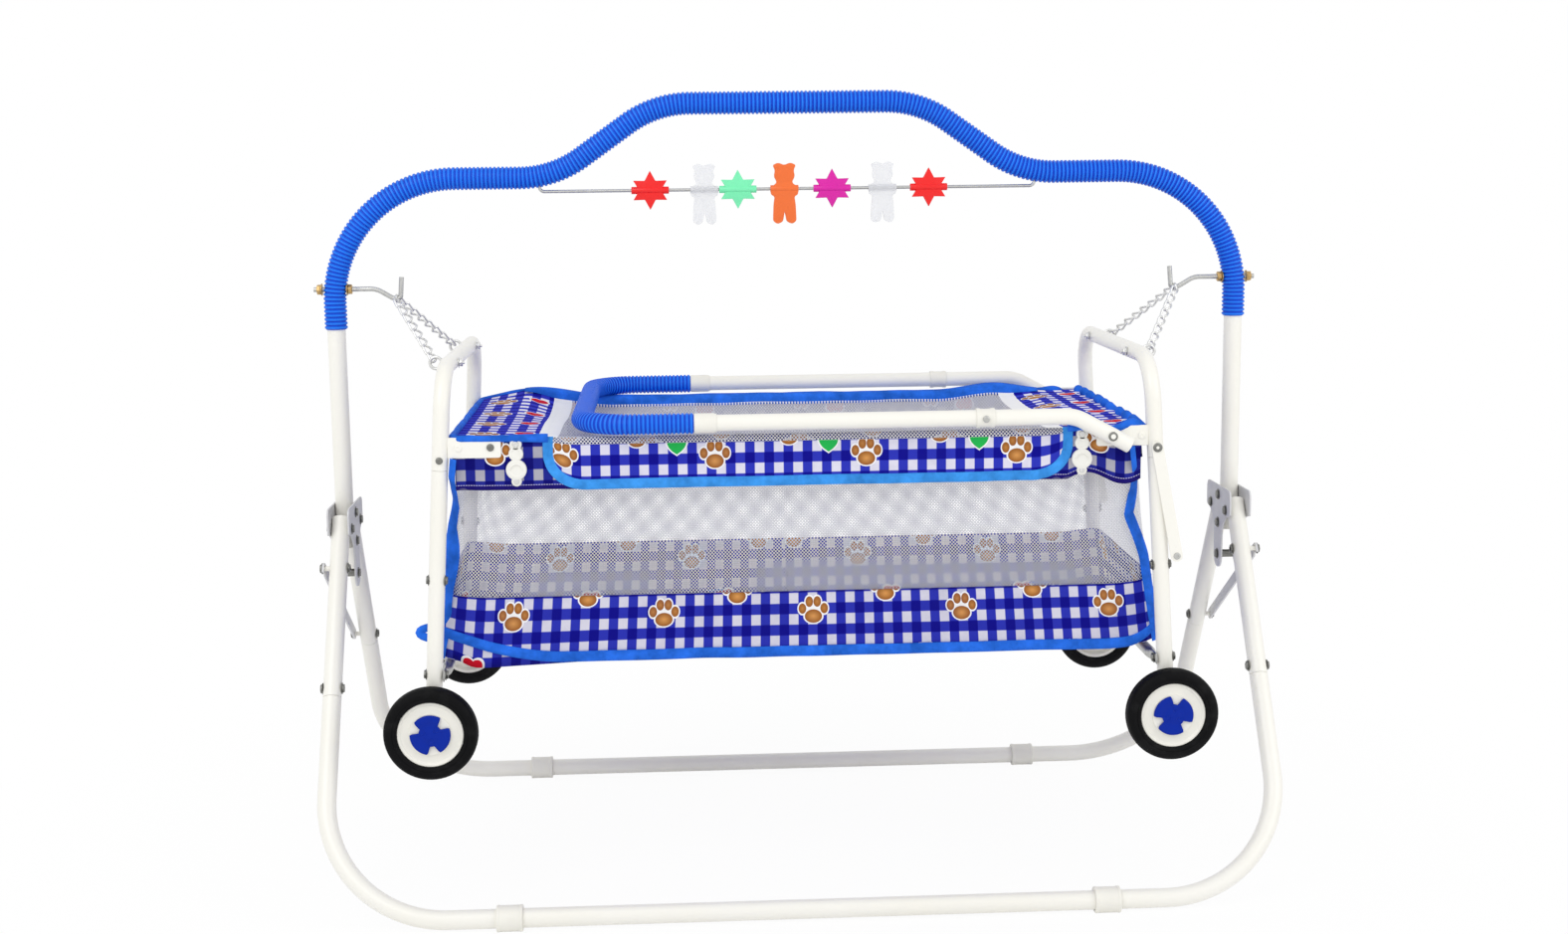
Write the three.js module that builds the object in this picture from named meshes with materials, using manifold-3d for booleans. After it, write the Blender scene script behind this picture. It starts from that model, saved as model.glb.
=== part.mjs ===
// A swing cradle with a mosquito net: a folding tube stand whose padded arch carries two hooks,
// and a wheeled cradle with a fabric basket that hangs on them by chains.
// Millimetres. X runs along the cradle, Y to the back, Z up, and the floor is z = 0.

import * as THREE from "three";
import { mergeVertices } from "three/addons/utils/BufferGeometryUtils.js";
import Module from "manifold-3d";

const wasm = await Module();
wasm.setup();
const { sin, cos, tan, atan2, PI, hypot } = Math;

// Clearances and facets
const gap = 0.3;
const runningGap = 0.4;
const overrun = 2;
const tubeSides = 8;
const boreSides = 6;
const rodSides = 8;
const smallSides = 6;
const sleevedBendStep = THREE.MathUtils.degToRad(11.7);
const bendStep = THREE.MathUtils.degToRad(15);
const tightBendStep = THREE.MathUtils.degToRad(22.5);

// Stand: arch
const standHalfSpan = 560;
const standTubeRadius = 11.1;
const tubeWall = 1.3;
const archEndZ = 395;
const archLegHeight = 455;
const archShoulderZ = archEndZ + archLegHeight;
const archCrownRise = 88;
const archTopZ = archShoulderZ + archCrownRise;
const archShoulderRun = 272;
const archKneeX = standHalfSpan - archShoulderRun;
const archRise = THREE.MathUtils.degToRad(35);
const archCornerRadius = 150;
const archKneeRadius = 134;

// Hooks
const hookDrop = 133;
const hookZ = archShoulderZ - hookDrop;
const hookRadius = 3;
const hookSeatInset = 75;
const hookSeatX = standHalfSpan - hookSeatInset;
const hookSeatDrop = 12;
const hookSeatZ = hookZ - hookSeatDrop;
const hookSeatHalf = 5;
const hookSlopeRun = 8;
const hookReach = hookSeatInset - hookSeatHalf - hookSlopeRun;
const hookTipLean = 7;
const hookTipX = hookSeatX - hookTipLean;
const hookTipRise = 26;
const hookTipZ = hookSeatZ + hookTipRise;
const hookBend = 4;
const nutRadius = 6.5;
const nutHeight = 5;
const hookStickOut = 4;

// Ribbed sleeves
const sleeveBelowHook = 49;
const sleeveEndZ = hookZ - sleeveBelowHook;
const sleeveCrest = 14;
const sleeveValley = 13.1;
const sleeveBore = 12.35;
const sleeveSides = 8;
const archRibs = 56;
const ribCrestShare = 0.333;

// Toy bar
const toyRodDrop = 17;
const toyRodZ = archShoulderZ - toyRodDrop;
const toyRodRadius = 2;
const toyRodOverhang = 18;
const toyRodHalf = archKneeX + toyRodOverhang;
const toyRodEntry = 4.6;
const toyRodBend = 6;
const toyRowMiddleX = 1.75;
const toyBore = 2.6;
const starRadius = 24;
const starInnerShare = 0.56;
const starThickness = 7;
const toyHubRadius = 4.5;
const toyHubLength = 46;
const figureHeight = 76;
const figureThickness = 8;

// Stand: hinge brackets and folding legs
const bracketRise = 56;
const bracketTopZ = archEndZ + bracketRise;
const bracketWaistDrop = 3;
const bracketWaistZ = archEndZ - bracketWaistDrop;
const bracketEndDrop = 50;
const bracketEndZ = archEndZ - bracketEndDrop;
const bracketHalfTop = 54;
const bracketHalfEnd = 17;
const bracketShoulder = 32;
const bracketCorner = 9;
const plateThickness = 2;
const boltRadius = 3;
const boltHead = 5.5;
const boltHeadHeight = 3;
const archBoltRise = 44;
const archBoltZ = archEndZ + archBoltRise;
const archLowBoltRise = 8;
const archLowBoltZ = archEndZ + archLowBoltRise;
const spacerDrop = 33;
const spacerBoltZ = archEndZ - spacerDrop;
const spacerRadius = 5;
const legPivotY = 34;
const legPivotRise = 29;
const legPivotZ = archEndZ + legPivotRise;
const footY = 290;
const railZ = 13;
const legTop = 14;
const legJoint = 205;
const legCornerRadius = 145;
const spigotLength = 28;
const spigotWeldShare = 0.333;
const footInset = 215;
const footX = standHalfSpan - footInset;
const footLength = 30;
const footRadius = 15.5;
const stayBoltDrop = 52;
const stayWidth = 14;
const stayThickness = 2.5;
const stayMouthHalf = 9;

// Cradle: end frames
const cradleTubeRadius = 9.6;
const chainRunX = 75;
const bowX = hookSeatX - chainRunX;
const chainDrop = 70;
const bowZ = hookSeatZ - chainDrop;
const bowHalfY = 195;
const bowCornerRadius = 50;
const bowSplay = THREE.MathUtils.degToRad(3.5);
const bowJointDrop = 116;
const bowScrewDrop = 104;
const axleDrop = 422;
const lowBoltAboveAxle = 64;
const lowBoltDrop = axleDrop - lowBoltAboveAxle;
const legToeBelow = 14;
const crossBarRadius = 7;
const crossBarFlat = 3;
const crossBarFlatLength = 26;

// Cradle: rim rails and their brackets
const rimDrop = 90;
const rimRailZ = bowZ - rimDrop;
const rimRailRadius = 6;
const rimRailInset = 6.3;
const rimRailY = bowHalfY - rimRailInset;
const cornerPlateLength = 60;
const cornerPlateHeight = 24;
const cornerPlateThickness = 2.7;
const rivetRadius = 3.5;
const rivetHeight = 1.5;

// Cradle: basket, base board and net cover
const cloth = 2;
const wallY = rimRailY - rimRailRadius - gap;
const hemY = rimRailY + rimRailRadius + gap;
const hemTopZ = rimRailZ + rimRailRadius + gap + cloth;
const crossBarX = cradleTubeRadius + runningGap + crossBarFlat / 2;
const crossBarTopZ = bowZ - (lowBoltDrop - crossBarRadius) * cos(bowSplay) - crossBarX * sin(bowSplay);
const basketSeat = 0.55;
const basketFloorZ = crossBarTopZ + basketSeat;
const basketInset = 10;
const basketTopHalfX = bowX - basketInset;
const basketFlare = 38;
const basketFloorHalfX = basketTopHalfX + basketFlare;
const basketBulge = 8;
const basketBulgeHalfX = basketFloorHalfX + basketBulge;
const basketBulgeRise = 45.5;
const basketBulgeZ = basketFloorZ + basketBulgeRise;
const basketTaper = 14.4;
const basketFloorHalfY = wallY - basketTaper;
const basketCorner = 30;
const valanceDrop = 50;
const valanceEndZ = rimRailZ - valanceDrop;
const boardThickness = 3.5;
const boardMargin = 12;
const coverSag = 7;
const coverOverhang = 3;
const coverFlatShare = 0.85;
const foldDepth = 6;
const flapLeftInset = 108;
const flapLeftX = flapLeftInset - basketTopHalfX;
const flapRightInset = 88;
const flapRightX = basketTopHalfX - flapRightInset;
const flapLift = 2;
const flapEndZ = valanceEndZ + flapLift;
const flapCorner = 30;
const clipInset = 71;
const clipX = basketTopHalfX - clipInset;
const clipHeight = 56;
const clipThickness = 4;

// Cradle: chains and eye bolts
const eyeInset = 85;
const eyeY = bowHalfY - eyeInset;
const eyeNutRadius = 5.2;
const eyeStickOut = 2;
const eyeOut = 17;
const eyeRadius = 7;
const eyeWire = 2;
const chainWire = 1.5;
const linkHalfWidth = 6.5;
const wireSides = 4;
const linksPerRun = 4;
const linkBite = 0.3;

// Cradle: handle and its stay bars
const handleRise = 25;
const handleZ = rimRailZ + handleRise;
const handleOutset = 15;
const handleY = bowHalfY + handleOutset;
const handleGripInset = 155;
const handleGripX = handleGripInset - bowX;
const handleCorner = 62;
const handleBendInset = 92;
const handleBendX = bowX - handleBendInset;
const handleBendRadius = 45;
const handlePivotInset = 49;
const handlePivotX = bowX - handlePivotInset;
const handleTailInset = 27;
const handleTailX = bowX - handleTailInset;
const handleTailDrop = 35;
const handleTailZ = handleZ - handleTailDrop;
const gripSleeveLength = 131;
const gripSleeveEndX = handleGripX + gripSleeveLength;
const gripRibs = 20;
const ferruleLength = 26;
const ferruleRadius = 11.5;
const gripJointInset = 105;
const gripJointX = handleBendX - gripJointInset;
const gripCapLength = 22;
const propLength = 132;
const propWidth = 14;
const propThickness = 2.5;
const propLean = THREE.MathUtils.degToRad(11);

// Wheels
const wheelRadius = 55;
const wheelWidth = 24;
const tyreDepth = 16.4;
const tyreCorner = 6;
const rimRadius = wheelRadius - tyreDepth;
const hubFace = 15;
const capRadius = rimRadius - hubFace;
const capThickness = 3;
const capNotchShare = 0.3;
const capNotchEdgeShare = 0.8;
const axleRadius = 4;
const hubBoss = 9;
const hubWeb = 4;
const wheelSides = 16;

const X = new THREE.Vector3(1, 0, 0);
const Y = new THREE.Vector3(0, 1, 0);
const Z = new THREE.Vector3(0, 0, 1);
const at = (x, y, z) => new THREE.Vector3(x, y, z);

// Materials
const paint = (color, roughness, metalness) =>
  new THREE.MeshStandardMaterial({ color, roughness, metalness, flatShading: true });
const whiteCoat = paint(0xf1efe9, 0.35, 0.1);
const zinc = paint(0xb9b8b2, 0.35, 0.9);
const blueRubber = paint(0x1e6ee6, 0.55, 0);
const blackRubber = paint(0x17171a, 0.8, 0);
const ivoryPlastic = paint(0xf3efe2, 0.4, 0);
const bluePlastic = paint(0x1d3fc8, 0.35, 0);
const blueGingham = paint(0x5a66d0, 0.9, 0);
const netCloth = paint(0xe9e7ec, 0.9, 0);
const plywood = paint(0xb48a58, 0.7, 0);
const redPlastic = paint(0xd8252a, 0.3, 0);
const mintPlastic = paint(0x7fe0b0, 0.3, 0);
const orangePlastic = paint(0xf08a2c, 0.3, 0);
const magentaPlastic = paint(0xd62f9e, 0.3, 0);
const clearPlastic = paint(0xf2f2f4, 0.25, 0);

// Turns a closed geometry into a solid
function solid(geometry) {
  const bare = geometry.clone();
  for (const name of Object.keys(bare.attributes)) {
    if (name !== "position") bare.deleteAttribute(name);
  }
  const merged = mergeVertices(bare);
  const mesh = new wasm.Mesh({
    numProp: 3,
    vertProperties: Float32Array.from(merged.attributes.position.array),
    triVerts: Uint32Array.from(merged.index.array),
  });
  return new wasm.Manifold(mesh);
}

// Makes the named mesh of a solid
function piece(name, shape, material) {
  const mesh = shape.getMesh();
  const geometry = new THREE.BufferGeometry();
  geometry.setAttribute("position", new THREE.BufferAttribute(mesh.vertProperties, 3));
  geometry.setIndex(new THREE.BufferAttribute(mesh.triVerts, 1));
  geometry.computeVertexNormals();
  const result = new THREE.Mesh(geometry, material);
  result.name = name;
  return result;
}

const union = (shapes) => shapes.reduce((sum, shape) => sum.add(shape));

// A centre line of straight runs joined by circular bends, with a stop at each end of a straight
// run and every few degrees round a bend
class BentLine extends THREE.Curve {
  constructor(corners, bendRadii, step) {
    super();
    this.length = 0;
    this.runs = [];
    this.stops = [0];
    let from = corners[0];
    for (let i = 1; i < corners.length - 1; i++) {
      const heading = corners[i].clone().sub(corners[i - 1]).normalize();
      const leaving = corners[i + 1].clone().sub(corners[i]).normalize();
      const turn = heading.angleTo(leaving);
      const setback = bendRadii[i - 1] * tan(turn / 2);
      const bendStart = corners[i].clone().addScaledVector(heading, -setback);
      this.addStraight(from, bendStart);
      this.addBend(bendStart, heading, leaving, bendRadii[i - 1], turn, step);
      from = corners[i].clone().addScaledVector(leaving, setback);
    }
    this.addStraight(from, corners[corners.length - 1]);
  }

  addRun(length, place, pieces) {
    this.runs.push({ start: this.length, length, place });
    for (let i = 1; i <= pieces; i++) this.stops.push(this.length + (length * i) / pieces);
    this.length += length;
  }

  addStraight(from, to) {
    const heading = to.clone().sub(from).normalize();
    const place = (along) => ({ point: from.clone().addScaledVector(heading, along), heading });
    this.addRun(from.distanceTo(to), place, 1);
  }

  addBend(start, heading, leaving, radius, turn, step) {
    const inward = leaving.clone().addScaledVector(heading, -leaving.dot(heading)).normalize();
    const place = (along) => {
      const angle = along / radius;
      const point = start.clone().addScaledVector(heading, radius * sin(angle));
      point.addScaledVector(inward, radius * (1 - cos(angle)));
      const direction = heading.clone().multiplyScalar(cos(angle)).addScaledVector(inward, sin(angle));
      return { point, heading: direction };
    };
    this.addRun(radius * turn, place, Math.ceil(turn / step - gap / radius));
  }

  place(along) {
    const run = this.runs.findLast((candidate) => candidate.start <= along) ?? this.runs[0];
    return run.place(along - run.start);
  }

  getSpacedPoints() {
    return this.stops.map((stop) => this.place(stop).point);
  }

  getTangentAt(share) {
    return this.place(this.stops[Math.round(share * (this.stops.length - 1))]).heading;
  }
}

function circlePath(radius, sides) {
  const points = [];
  for (let i = 0; i < sides; i++) {
    const angle = (2 * PI * i) / sides;
    points.push(new THREE.Vector2(radius * cos(angle), radius * sin(angle)));
  }
  return points;
}

// A round bar or, with a bore, an open-ended tube along a centre line
function tube(line, radius, bore, sides, holeSides = boreSides) {
  const section = new THREE.Shape(circlePath(radius, sides));
  if (bore > 0) section.holes.push(new THREE.Path(circlePath(bore, holeSides)));
  const steps = line.stops.length - 1;
  return solid(new THREE.ExtrudeGeometry(section, { steps, extrudePath: line }));
}

// A straight round bar between two points
function rod(radius, from, to, sides = smallSides) {
  const axis = to.clone().sub(from);
  const geometry = new THREE.CylinderGeometry(radius, radius, axis.length(), sides);
  geometry.applyQuaternion(new THREE.Quaternion().setFromUnitVectors(Y, axis.normalize()));
  const middle = from.clone().add(to).multiplyScalar(0.5);
  geometry.translate(middle.x, middle.y, middle.z);
  return solid(geometry);
}

// The radius of a hole that clears a round bar however the two are turned
const holeFor = (radius) => (radius + gap) / cos(PI / smallSides);

// A flat outline in Y and Z, from x = 0 to its thickness
function plateAcrossX(outline, thickness, curveSegments = 3) {
  const settings = { depth: thickness, bevelEnabled: false, curveSegments };
  const geometry = new THREE.ExtrudeGeometry(outline, settings);
  return solid(geometry.applyMatrix4(new THREE.Matrix4().makeBasis(Y, Z, X)));
}

// A flat outline in X and Z, from y = 0 to minus its thickness
function plateAcrossY(outline, thickness, curveSegments = 4) {
  const settings = { depth: thickness, bevelEnabled: false, curveSegments };
  const geometry = new THREE.ExtrudeGeometry(outline, settings);
  return solid(geometry.applyMatrix4(new THREE.Matrix4().makeBasis(X, Z, Y.clone().negate())));
}

// A skin over rings of equally many points, closed at its ends by flat caps or on itself
function loft(rings, joinsItself) {
  const count = rings[0].length;
  const positions = rings.flat().flatMap((point) => [point.x, point.y, point.z]);
  const index = [];
  const last = joinsItself ? rings.length : rings.length - 1;
  for (let i = 0; i < last; i++) {
    const near = i * count;
    const far = ((i + 1) % rings.length) * count;
    for (let j = 0; j < count; j++) {
      const k = (j + 1) % count;
      index.push(near + j, near + k, far + k, near + j, far + k, far + j);
    }
  }
  if (!joinsItself) {
    const end = (rings.length - 1) * count;
    for (let j = 1; j < count - 1; j++) index.push(0, j + 1, j, end, end + j, end + j + 1);
  }
  const geometry = new THREE.BufferGeometry();
  geometry.setAttribute("position", new THREE.Float32BufferAttribute(positions, 3));
  geometry.setIndex(index);
  return solid(geometry);
}

// The points of a ring round a centre line that lies in the plane square to planeNormal
function ringAt(line, along, radius, sides, planeNormal) {
  const { point, heading } = line.place(along);
  const across = new THREE.Vector3().crossVectors(planeNormal, heading).normalize();
  return circlePath(radius, sides).map((spot) =>
    point.clone().addScaledVector(across, spot.x).addScaledVector(planeNormal, spot.y));
}

// A corrugated sleeve round a bent tube, made for the stand's tube or scaled to a thinner one
function ribbedSleeve(line, from, to, ribs, planeNormal, scale) {
  const pitch = (to - from) / ribs;
  const ring = (along, radius) => ringAt(line, along, radius * scale, sleeveSides, planeNormal);
  const rings = [ring(from, sleeveValley)];
  for (let i = 0; i < ribs; i++) {
    rings.push(ring(from + (i + ribCrestShare) * pitch, sleeveCrest));
    rings.push(ring(from + (i + 1) * pitch, sleeveValley));
  }
  const boreStops = [from, ...line.stops.filter((stop) => stop > from && stop < to), to];
  for (const stop of boreStops.reverse()) rings.push(ring(stop, sleeveBore));
  return loft(rings, true);
}

const group = new THREE.Group();

// Arch
const archFarKneeX = archKneeX - (archTopZ - archShoulderZ) / tan(archRise);
const archLine = new BentLine(
  [
    at(-standHalfSpan, 0, archEndZ),
    at(-standHalfSpan, 0, archShoulderZ),
    at(-archKneeX, 0, archShoulderZ),
    at(-archFarKneeX, 0, archTopZ),
    at(archFarKneeX, 0, archTopZ),
    at(archKneeX, 0, archShoulderZ),
    at(standHalfSpan, 0, archShoulderZ),
    at(standHalfSpan, 0, archEndZ),
  ],
  [archCornerRadius, archKneeRadius, archKneeRadius, archKneeRadius, archKneeRadius, archCornerRadius],
  sleevedBendStep,
);
const standBore = standTubeRadius - tubeWall;

// The height of the arch's centre line at a distance from the middle
function archHeightAt(distance) {
  const halvings = 40;
  let low = 0;
  let high = archLine.length / 2;
  for (let i = 0; i < halvings; i++) {
    const middle = (low + high) / 2;
    if (archLine.place(middle).point.x < -distance) low = middle;
    else high = middle;
  }
  return archLine.place(low).point.z;
}

const toyRodEndZ = archHeightAt(toyRodHalf) - standBore + toyRodEntry;
const plateInside = standTubeRadius + runningGap;
const plateOutside = plateInside + plateThickness;
const headOutside = plateOutside + boltHeadHeight;

function addArch() {
  const holes = [];
  const sleeveHoles = [];
  for (const side of [-1, 1]) {
    const x = side * standHalfSpan;
    for (const z of [archBoltZ, archLowBoltZ]) {
      holes.push(rod(holeFor(boltRadius), at(x - plateOutside, 0, z), at(x + plateOutside, 0, z)));
    }
    const through = rod(
      hookRadius + runningGap,
      at(x - sleeveCrest - overrun, 0, hookZ),
      at(x + sleeveCrest + overrun, 0, hookZ),
    );
    const toyEnd = side * toyRodHalf;
    const upward = rod(
      toyRodRadius + runningGap,
      at(toyEnd, 0, toyRodZ),
      at(toyEnd, 0, archHeightAt(toyRodHalf)),
    );
    holes.push(through, upward);
    sleeveHoles.push(through, upward);
  }
  const archTube = tube(archLine, standTubeRadius, standBore, tubeSides).subtract(union(holes));
  group.add(piece("arch_tube", archTube, whiteCoat));
  const sleeveStart = sleeveEndZ - archEndZ;
  const sleeveStop = archLine.length - sleeveStart;
  const sleeve = ribbedSleeve(archLine, sleeveStart, sleeveStop, archRibs, Y, 1);
  group.add(piece("arch_sleeve", sleeve.subtract(union(sleeveHoles)), blueRubber));
}

// Hooks: a threaded rod through the arch with a nut on each side, bent to a seat and a tip
function addHook(name, side) {
  const nutSeat = sleeveCrest + overrun + gap;
  const outerX = standHalfSpan + nutSeat + nutHeight;
  const line = new BentLine(
    [
      at(side * (outerX + hookStickOut), 0, hookZ),
      at(side * (standHalfSpan - hookReach), 0, hookZ),
      at(side * (hookSeatX + hookSeatHalf), 0, hookSeatZ),
      at(side * (hookSeatX - hookSeatHalf), 0, hookSeatZ),
      at(side * hookTipX, 0, hookTipZ),
    ],
    [2 * hookBend, hookBend, hookBend],
    tightBendStep,
  );
  const parts = [tube(line, hookRadius, 0, smallSides)];
  for (const way of [-1, 1]) {
    const nearX = side * (standHalfSpan + way * nutSeat);
    const farX = side * (standHalfSpan + way * (nutSeat + nutHeight));
    parts.push(rod(nutRadius, at(nearX, 0, hookZ), at(farX, 0, hookZ)));
  }
  group.add(piece(name, union(parts), zinc));
}

// Toy bar with seven toys that spin on it
function addToyRod() {
  const line = new BentLine(
    [
      at(-toyRodHalf, 0, toyRodEndZ),
      at(-toyRodHalf, 0, toyRodZ),
      at(toyRodHalf, 0, toyRodZ),
      at(toyRodHalf, 0, toyRodEndZ),
    ],
    [toyRodBend, toyRodBend],
    tightBendStep,
  );
  group.add(piece("toy_rod", tube(line, toyRodRadius, 0, smallSides), whiteCoat));
}

function toyHub(length) {
  return rod(toyHubRadius, at(-length / 2, 0, 0), at(length / 2, 0, 0));
}

function boreOf(length) {
  return rod(toyBore, at(-length / 2 - overrun, 0, 0), at(length / 2 + overrun, 0, 0));
}

function starSolid() {
  const outline = new THREE.Shape();
  const points = 6;
  for (let i = 0; i < 2 * points; i++) {
    const radius = i % 2 ? starRadius * starInnerShare : starRadius;
    const angle = (PI * i) / points + PI / 2;
    if (i) outline.lineTo(radius * cos(angle), radius * sin(angle));
    else outline.moveTo(radius * cos(angle), radius * sin(angle));
  }
  const star = plateAcrossY(outline, starThickness).translate([0, starThickness / 2, 0]);
  return star.add(toyHub(toyHubLength)).subtract(boreOf(toyHubLength));
}

// A plain standing figure: one side of its outline, from between the legs up to the crown
const figureShares = [
  [0, -0.3],
  [0.03, -0.47],
  [0.12, -0.51],
  [0.19, -0.46],
  [0.18, -0.2],
  [0.16, -0.06],
  [0.22, -0.04],
  [0.226, 0.08],
  [0.12, 0.16],
  [0.17, 0.26],
  [0.15, 0.36],
  [0.19, 0.44],
  [0.1, 0.48],
  [0, 0.44],
];
const figureRodShare = 0.06;
const figureHalfWidthShare = Math.max(...figureShares.map(([x]) => x));
const figureHubLength = 2 * (figureHeight * figureHalfWidthShare + gap);

function figureSolid() {
  const spot = ([x, z]) => new THREE.Vector2(x * figureHeight, (z - figureRodShare) * figureHeight);
  const rightSide = figureShares.map(spot);
  const leftSide = figureShares.slice(1, -1).reverse().map(([x, z]) => spot([-x, z]));
  const outline = new THREE.Shape([...rightSide, ...leftSide]);
  const body = plateAcrossY(outline, figureThickness).translate([0, figureThickness / 2, 0]);
  return body.add(toyHub(figureHubLength)).subtract(boreOf(figureHubLength));
}

const starToy = { shape: starSolid, length: toyHubLength };
const figureToy = { shape: figureSolid, length: figureHubLength };

// Each toy's free space before it is a share of a star's hub
const toys = [
  { name: "toy_star_red_left", kind: starToy, spaceShare: 0, material: redPlastic },
  { name: "toy_figure_white_left", kind: figureToy, spaceShare: 0.566, material: clearPlastic },
  { name: "toy_star_mint", kind: starToy, spaceShare: 0.022, material: mintPlastic },
  { name: "toy_figure_orange", kind: figureToy, spaceShare: 0.37, material: orangePlastic },
  { name: "toy_star_magenta", kind: starToy, spaceShare: 0.403, material: magentaPlastic },
  { name: "toy_figure_white_right", kind: figureToy, spaceShare: 0.479, material: clearPlastic },
  { name: "toy_star_red_right", kind: starToy, spaceShare: 0.37, material: redPlastic },
];

function addToys() {
  const taken = (toy) => toy.spaceShare * toyHubLength + toy.kind.length;
  let x = toyRowMiddleX - toys.reduce((sum, toy) => sum + taken(toy), 0) / 2;
  for (const toy of toys) {
    const mesh = piece(toy.name, toy.kind.shape(), toy.material);
    x += taken(toy);
    mesh.position.set(x - toy.kind.length / 2, 0, toyRodZ);
    group.add(mesh);
  }
}

// Hinge brackets: two riveted plates that clasp the foot of the arch and the tops of the legs
function bracketOutline() {
  const outline = new THREE.Shape();
  const low = bracketEndZ + bracketHalfEnd;
  const shoulderZ = bracketTopZ - bracketShoulder;
  outline.moveTo(-bracketHalfTop + bracketCorner, bracketTopZ);
  outline.quadraticCurveTo(-bracketHalfTop, bracketTopZ, -bracketHalfTop, bracketTopZ - bracketCorner);
  outline.lineTo(-bracketHalfTop, shoulderZ);
  outline.quadraticCurveTo(-bracketHalfEnd, shoulderZ, -bracketHalfEnd, bracketWaistZ);
  outline.lineTo(-bracketHalfEnd, low);
  outline.absarc(0, low, bracketHalfEnd, PI, 2 * PI, false);
  outline.lineTo(bracketHalfEnd, bracketWaistZ);
  outline.quadraticCurveTo(bracketHalfEnd, shoulderZ, bracketHalfTop, shoulderZ);
  outline.lineTo(bracketHalfTop, bracketTopZ - bracketCorner);
  outline.quadraticCurveTo(bracketHalfTop, bracketTopZ, bracketHalfTop - bracketCorner, bracketTopZ);
  return outline;
}

function addHingeBracket(name, side) {
  const centre = side * standHalfSpan;
  const parts = [
    plateAcrossX(bracketOutline(), plateThickness).translate([centre + plateInside, 0, 0]),
    plateAcrossX(bracketOutline(), plateThickness).translate([centre - plateOutside, 0, 0]),
  ];
  const spots = [
    { y: 0, z: archBoltZ, radius: boltRadius },
    { y: 0, z: archLowBoltZ, radius: boltRadius },
    { y: 0, z: spacerBoltZ, radius: spacerRadius },
    { y: -legPivotY, z: legPivotZ, radius: boltRadius },
    { y: legPivotY, z: legPivotZ, radius: boltRadius },
  ];
  for (const spot of spots) {
    const reach = plateInside + plateThickness / 2;
    parts.push(rod(spot.radius, at(centre - reach, spot.y, spot.z), at(centre + reach, spot.y, spot.z)));
    for (const end of [-1, 1]) {
      const near = at(centre + end * (plateOutside - plateThickness / 2), spot.y, spot.z);
      parts.push(rod(boltHead, near, at(centre + end * headOutside, spot.y, spot.z)));
    }
  }
  group.add(piece(name, union(parts), zinc));
}

// A short pipe fixed in the top end of an upright tube that reaches up into the next tube
function spigotAt(mouth, bore) {
  const level = (rise) => mouth.clone().addScaledVector(Z, rise);
  const run = (rise) => new BentLine([level(rise), level(-spigotLength)], [], bendStep);
  const inside = bore - gap - tubeWall;
  const welded = tube(run(-tubeWall), bore + tubeWall * spigotWeldShare, inside, boreSides);
  return welded.add(tube(run(spigotLength), bore - gap, inside, boreSides));
}

// Leg frames: built upright under their pivots, then leaned outward
const legLean = atan2(footY - legPivotY, legPivotZ - railZ);
const legLength = hypot(footY - legPivotY, legPivotZ - railZ);
const stayLayer = headOutside + gap;

function addLegFrame(end, direction) {
  const frame = new THREE.Group();
  frame.position.set(0, direction * legPivotY, legPivotZ);
  frame.rotation.x = direction * legLean;
  for (const side of [-1, 1]) {
    const x = side * standHalfSpan;
    const line = new BentLine([at(x, 0, legTop), at(x, 0, -legJoint - standTubeRadius)], [], bendStep);
    const pivotHole = rod(holeFor(boltRadius), at(x - plateOutside, 0, 0), at(x + plateOutside, 0, 0));
    let leg = tube(line, standTubeRadius, standBore, tubeSides).subtract(pivotHole);
    const boltZ = direction < 0 ? -stayBoltDrop : -legJoint;
    const headStart = at(x + side * (stayLayer + stayThickness + gap), 0, boltZ);
    const headEnd = at(x + side * (stayLayer + stayThickness + gap + boltHeadHeight), 0, boltZ);
    const innerFace = at(x - side * (standTubeRadius - tubeWall), 0, boltZ);
    const nutEnd = at(x - side * (standTubeRadius + boltHeadHeight), 0, boltZ);
    leg = leg.add(rod(boltRadius, nutEnd, headEnd)).add(rod(boltHead, headStart, headEnd));
    leg = leg.add(rod(boltHead, innerFace, nutEnd));
    frame.add(piece(`${end}_${side < 0 ? "left" : "right"}_leg`, leg, whiteCoat));
  }
  const jointZ = -legJoint - standTubeRadius - gap;
  const rail = new BentLine(
    [
      at(-standHalfSpan, 0, jointZ),
      at(-standHalfSpan, 0, -legLength),
      at(standHalfSpan, 0, -legLength),
      at(standHalfSpan, 0, jointZ),
    ],
    [legCornerRadius, legCornerRadius],
    bendStep,
  );
  let railSolid = tube(rail, standTubeRadius, standBore, tubeSides);
  for (const side of [-1, 1]) {
    const x = side * standHalfSpan;
    const hole = rod(
      holeFor(boltRadius),
      at(x - standTubeRadius, 0, -legJoint),
      at(x + standTubeRadius, 0, -legJoint),
    );
    const spigot = spigotAt(at(x, 0, jointZ), standBore);
    railSolid = railSolid.add(direction < 0 ? spigot : spigot.subtract(hole));
  }
  frame.add(piece(`${end}_rail`, railSolid, whiteCoat));
  group.add(frame);
}

// Feet: plastic collars round the rails, flat underneath
function addFoot(name, x, y) {
  const half = footLength / 2;
  const line = new BentLine([at(x - half, y, railZ), at(x + half, y, railZ)], [], bendStep);
  const round = rod(footRadius, line.place(0).point, line.place(footLength).point, tubeSides);
  const bore = rod(
    (standTubeRadius + gap) / cos(PI / tubeSides),
    line.place(-overrun).point,
    line.place(footLength + overrun).point,
    tubeSides,
  );
  const floorCut = new THREE.BoxGeometry(footLength + 2 * overrun, 2 * footRadius, footRadius);
  floorCut.translate(x, y, -footRadius / 2);
  group.add(piece(name, round.subtract(bore).subtract(solid(floorCut)), ivoryPlastic));
}

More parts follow.
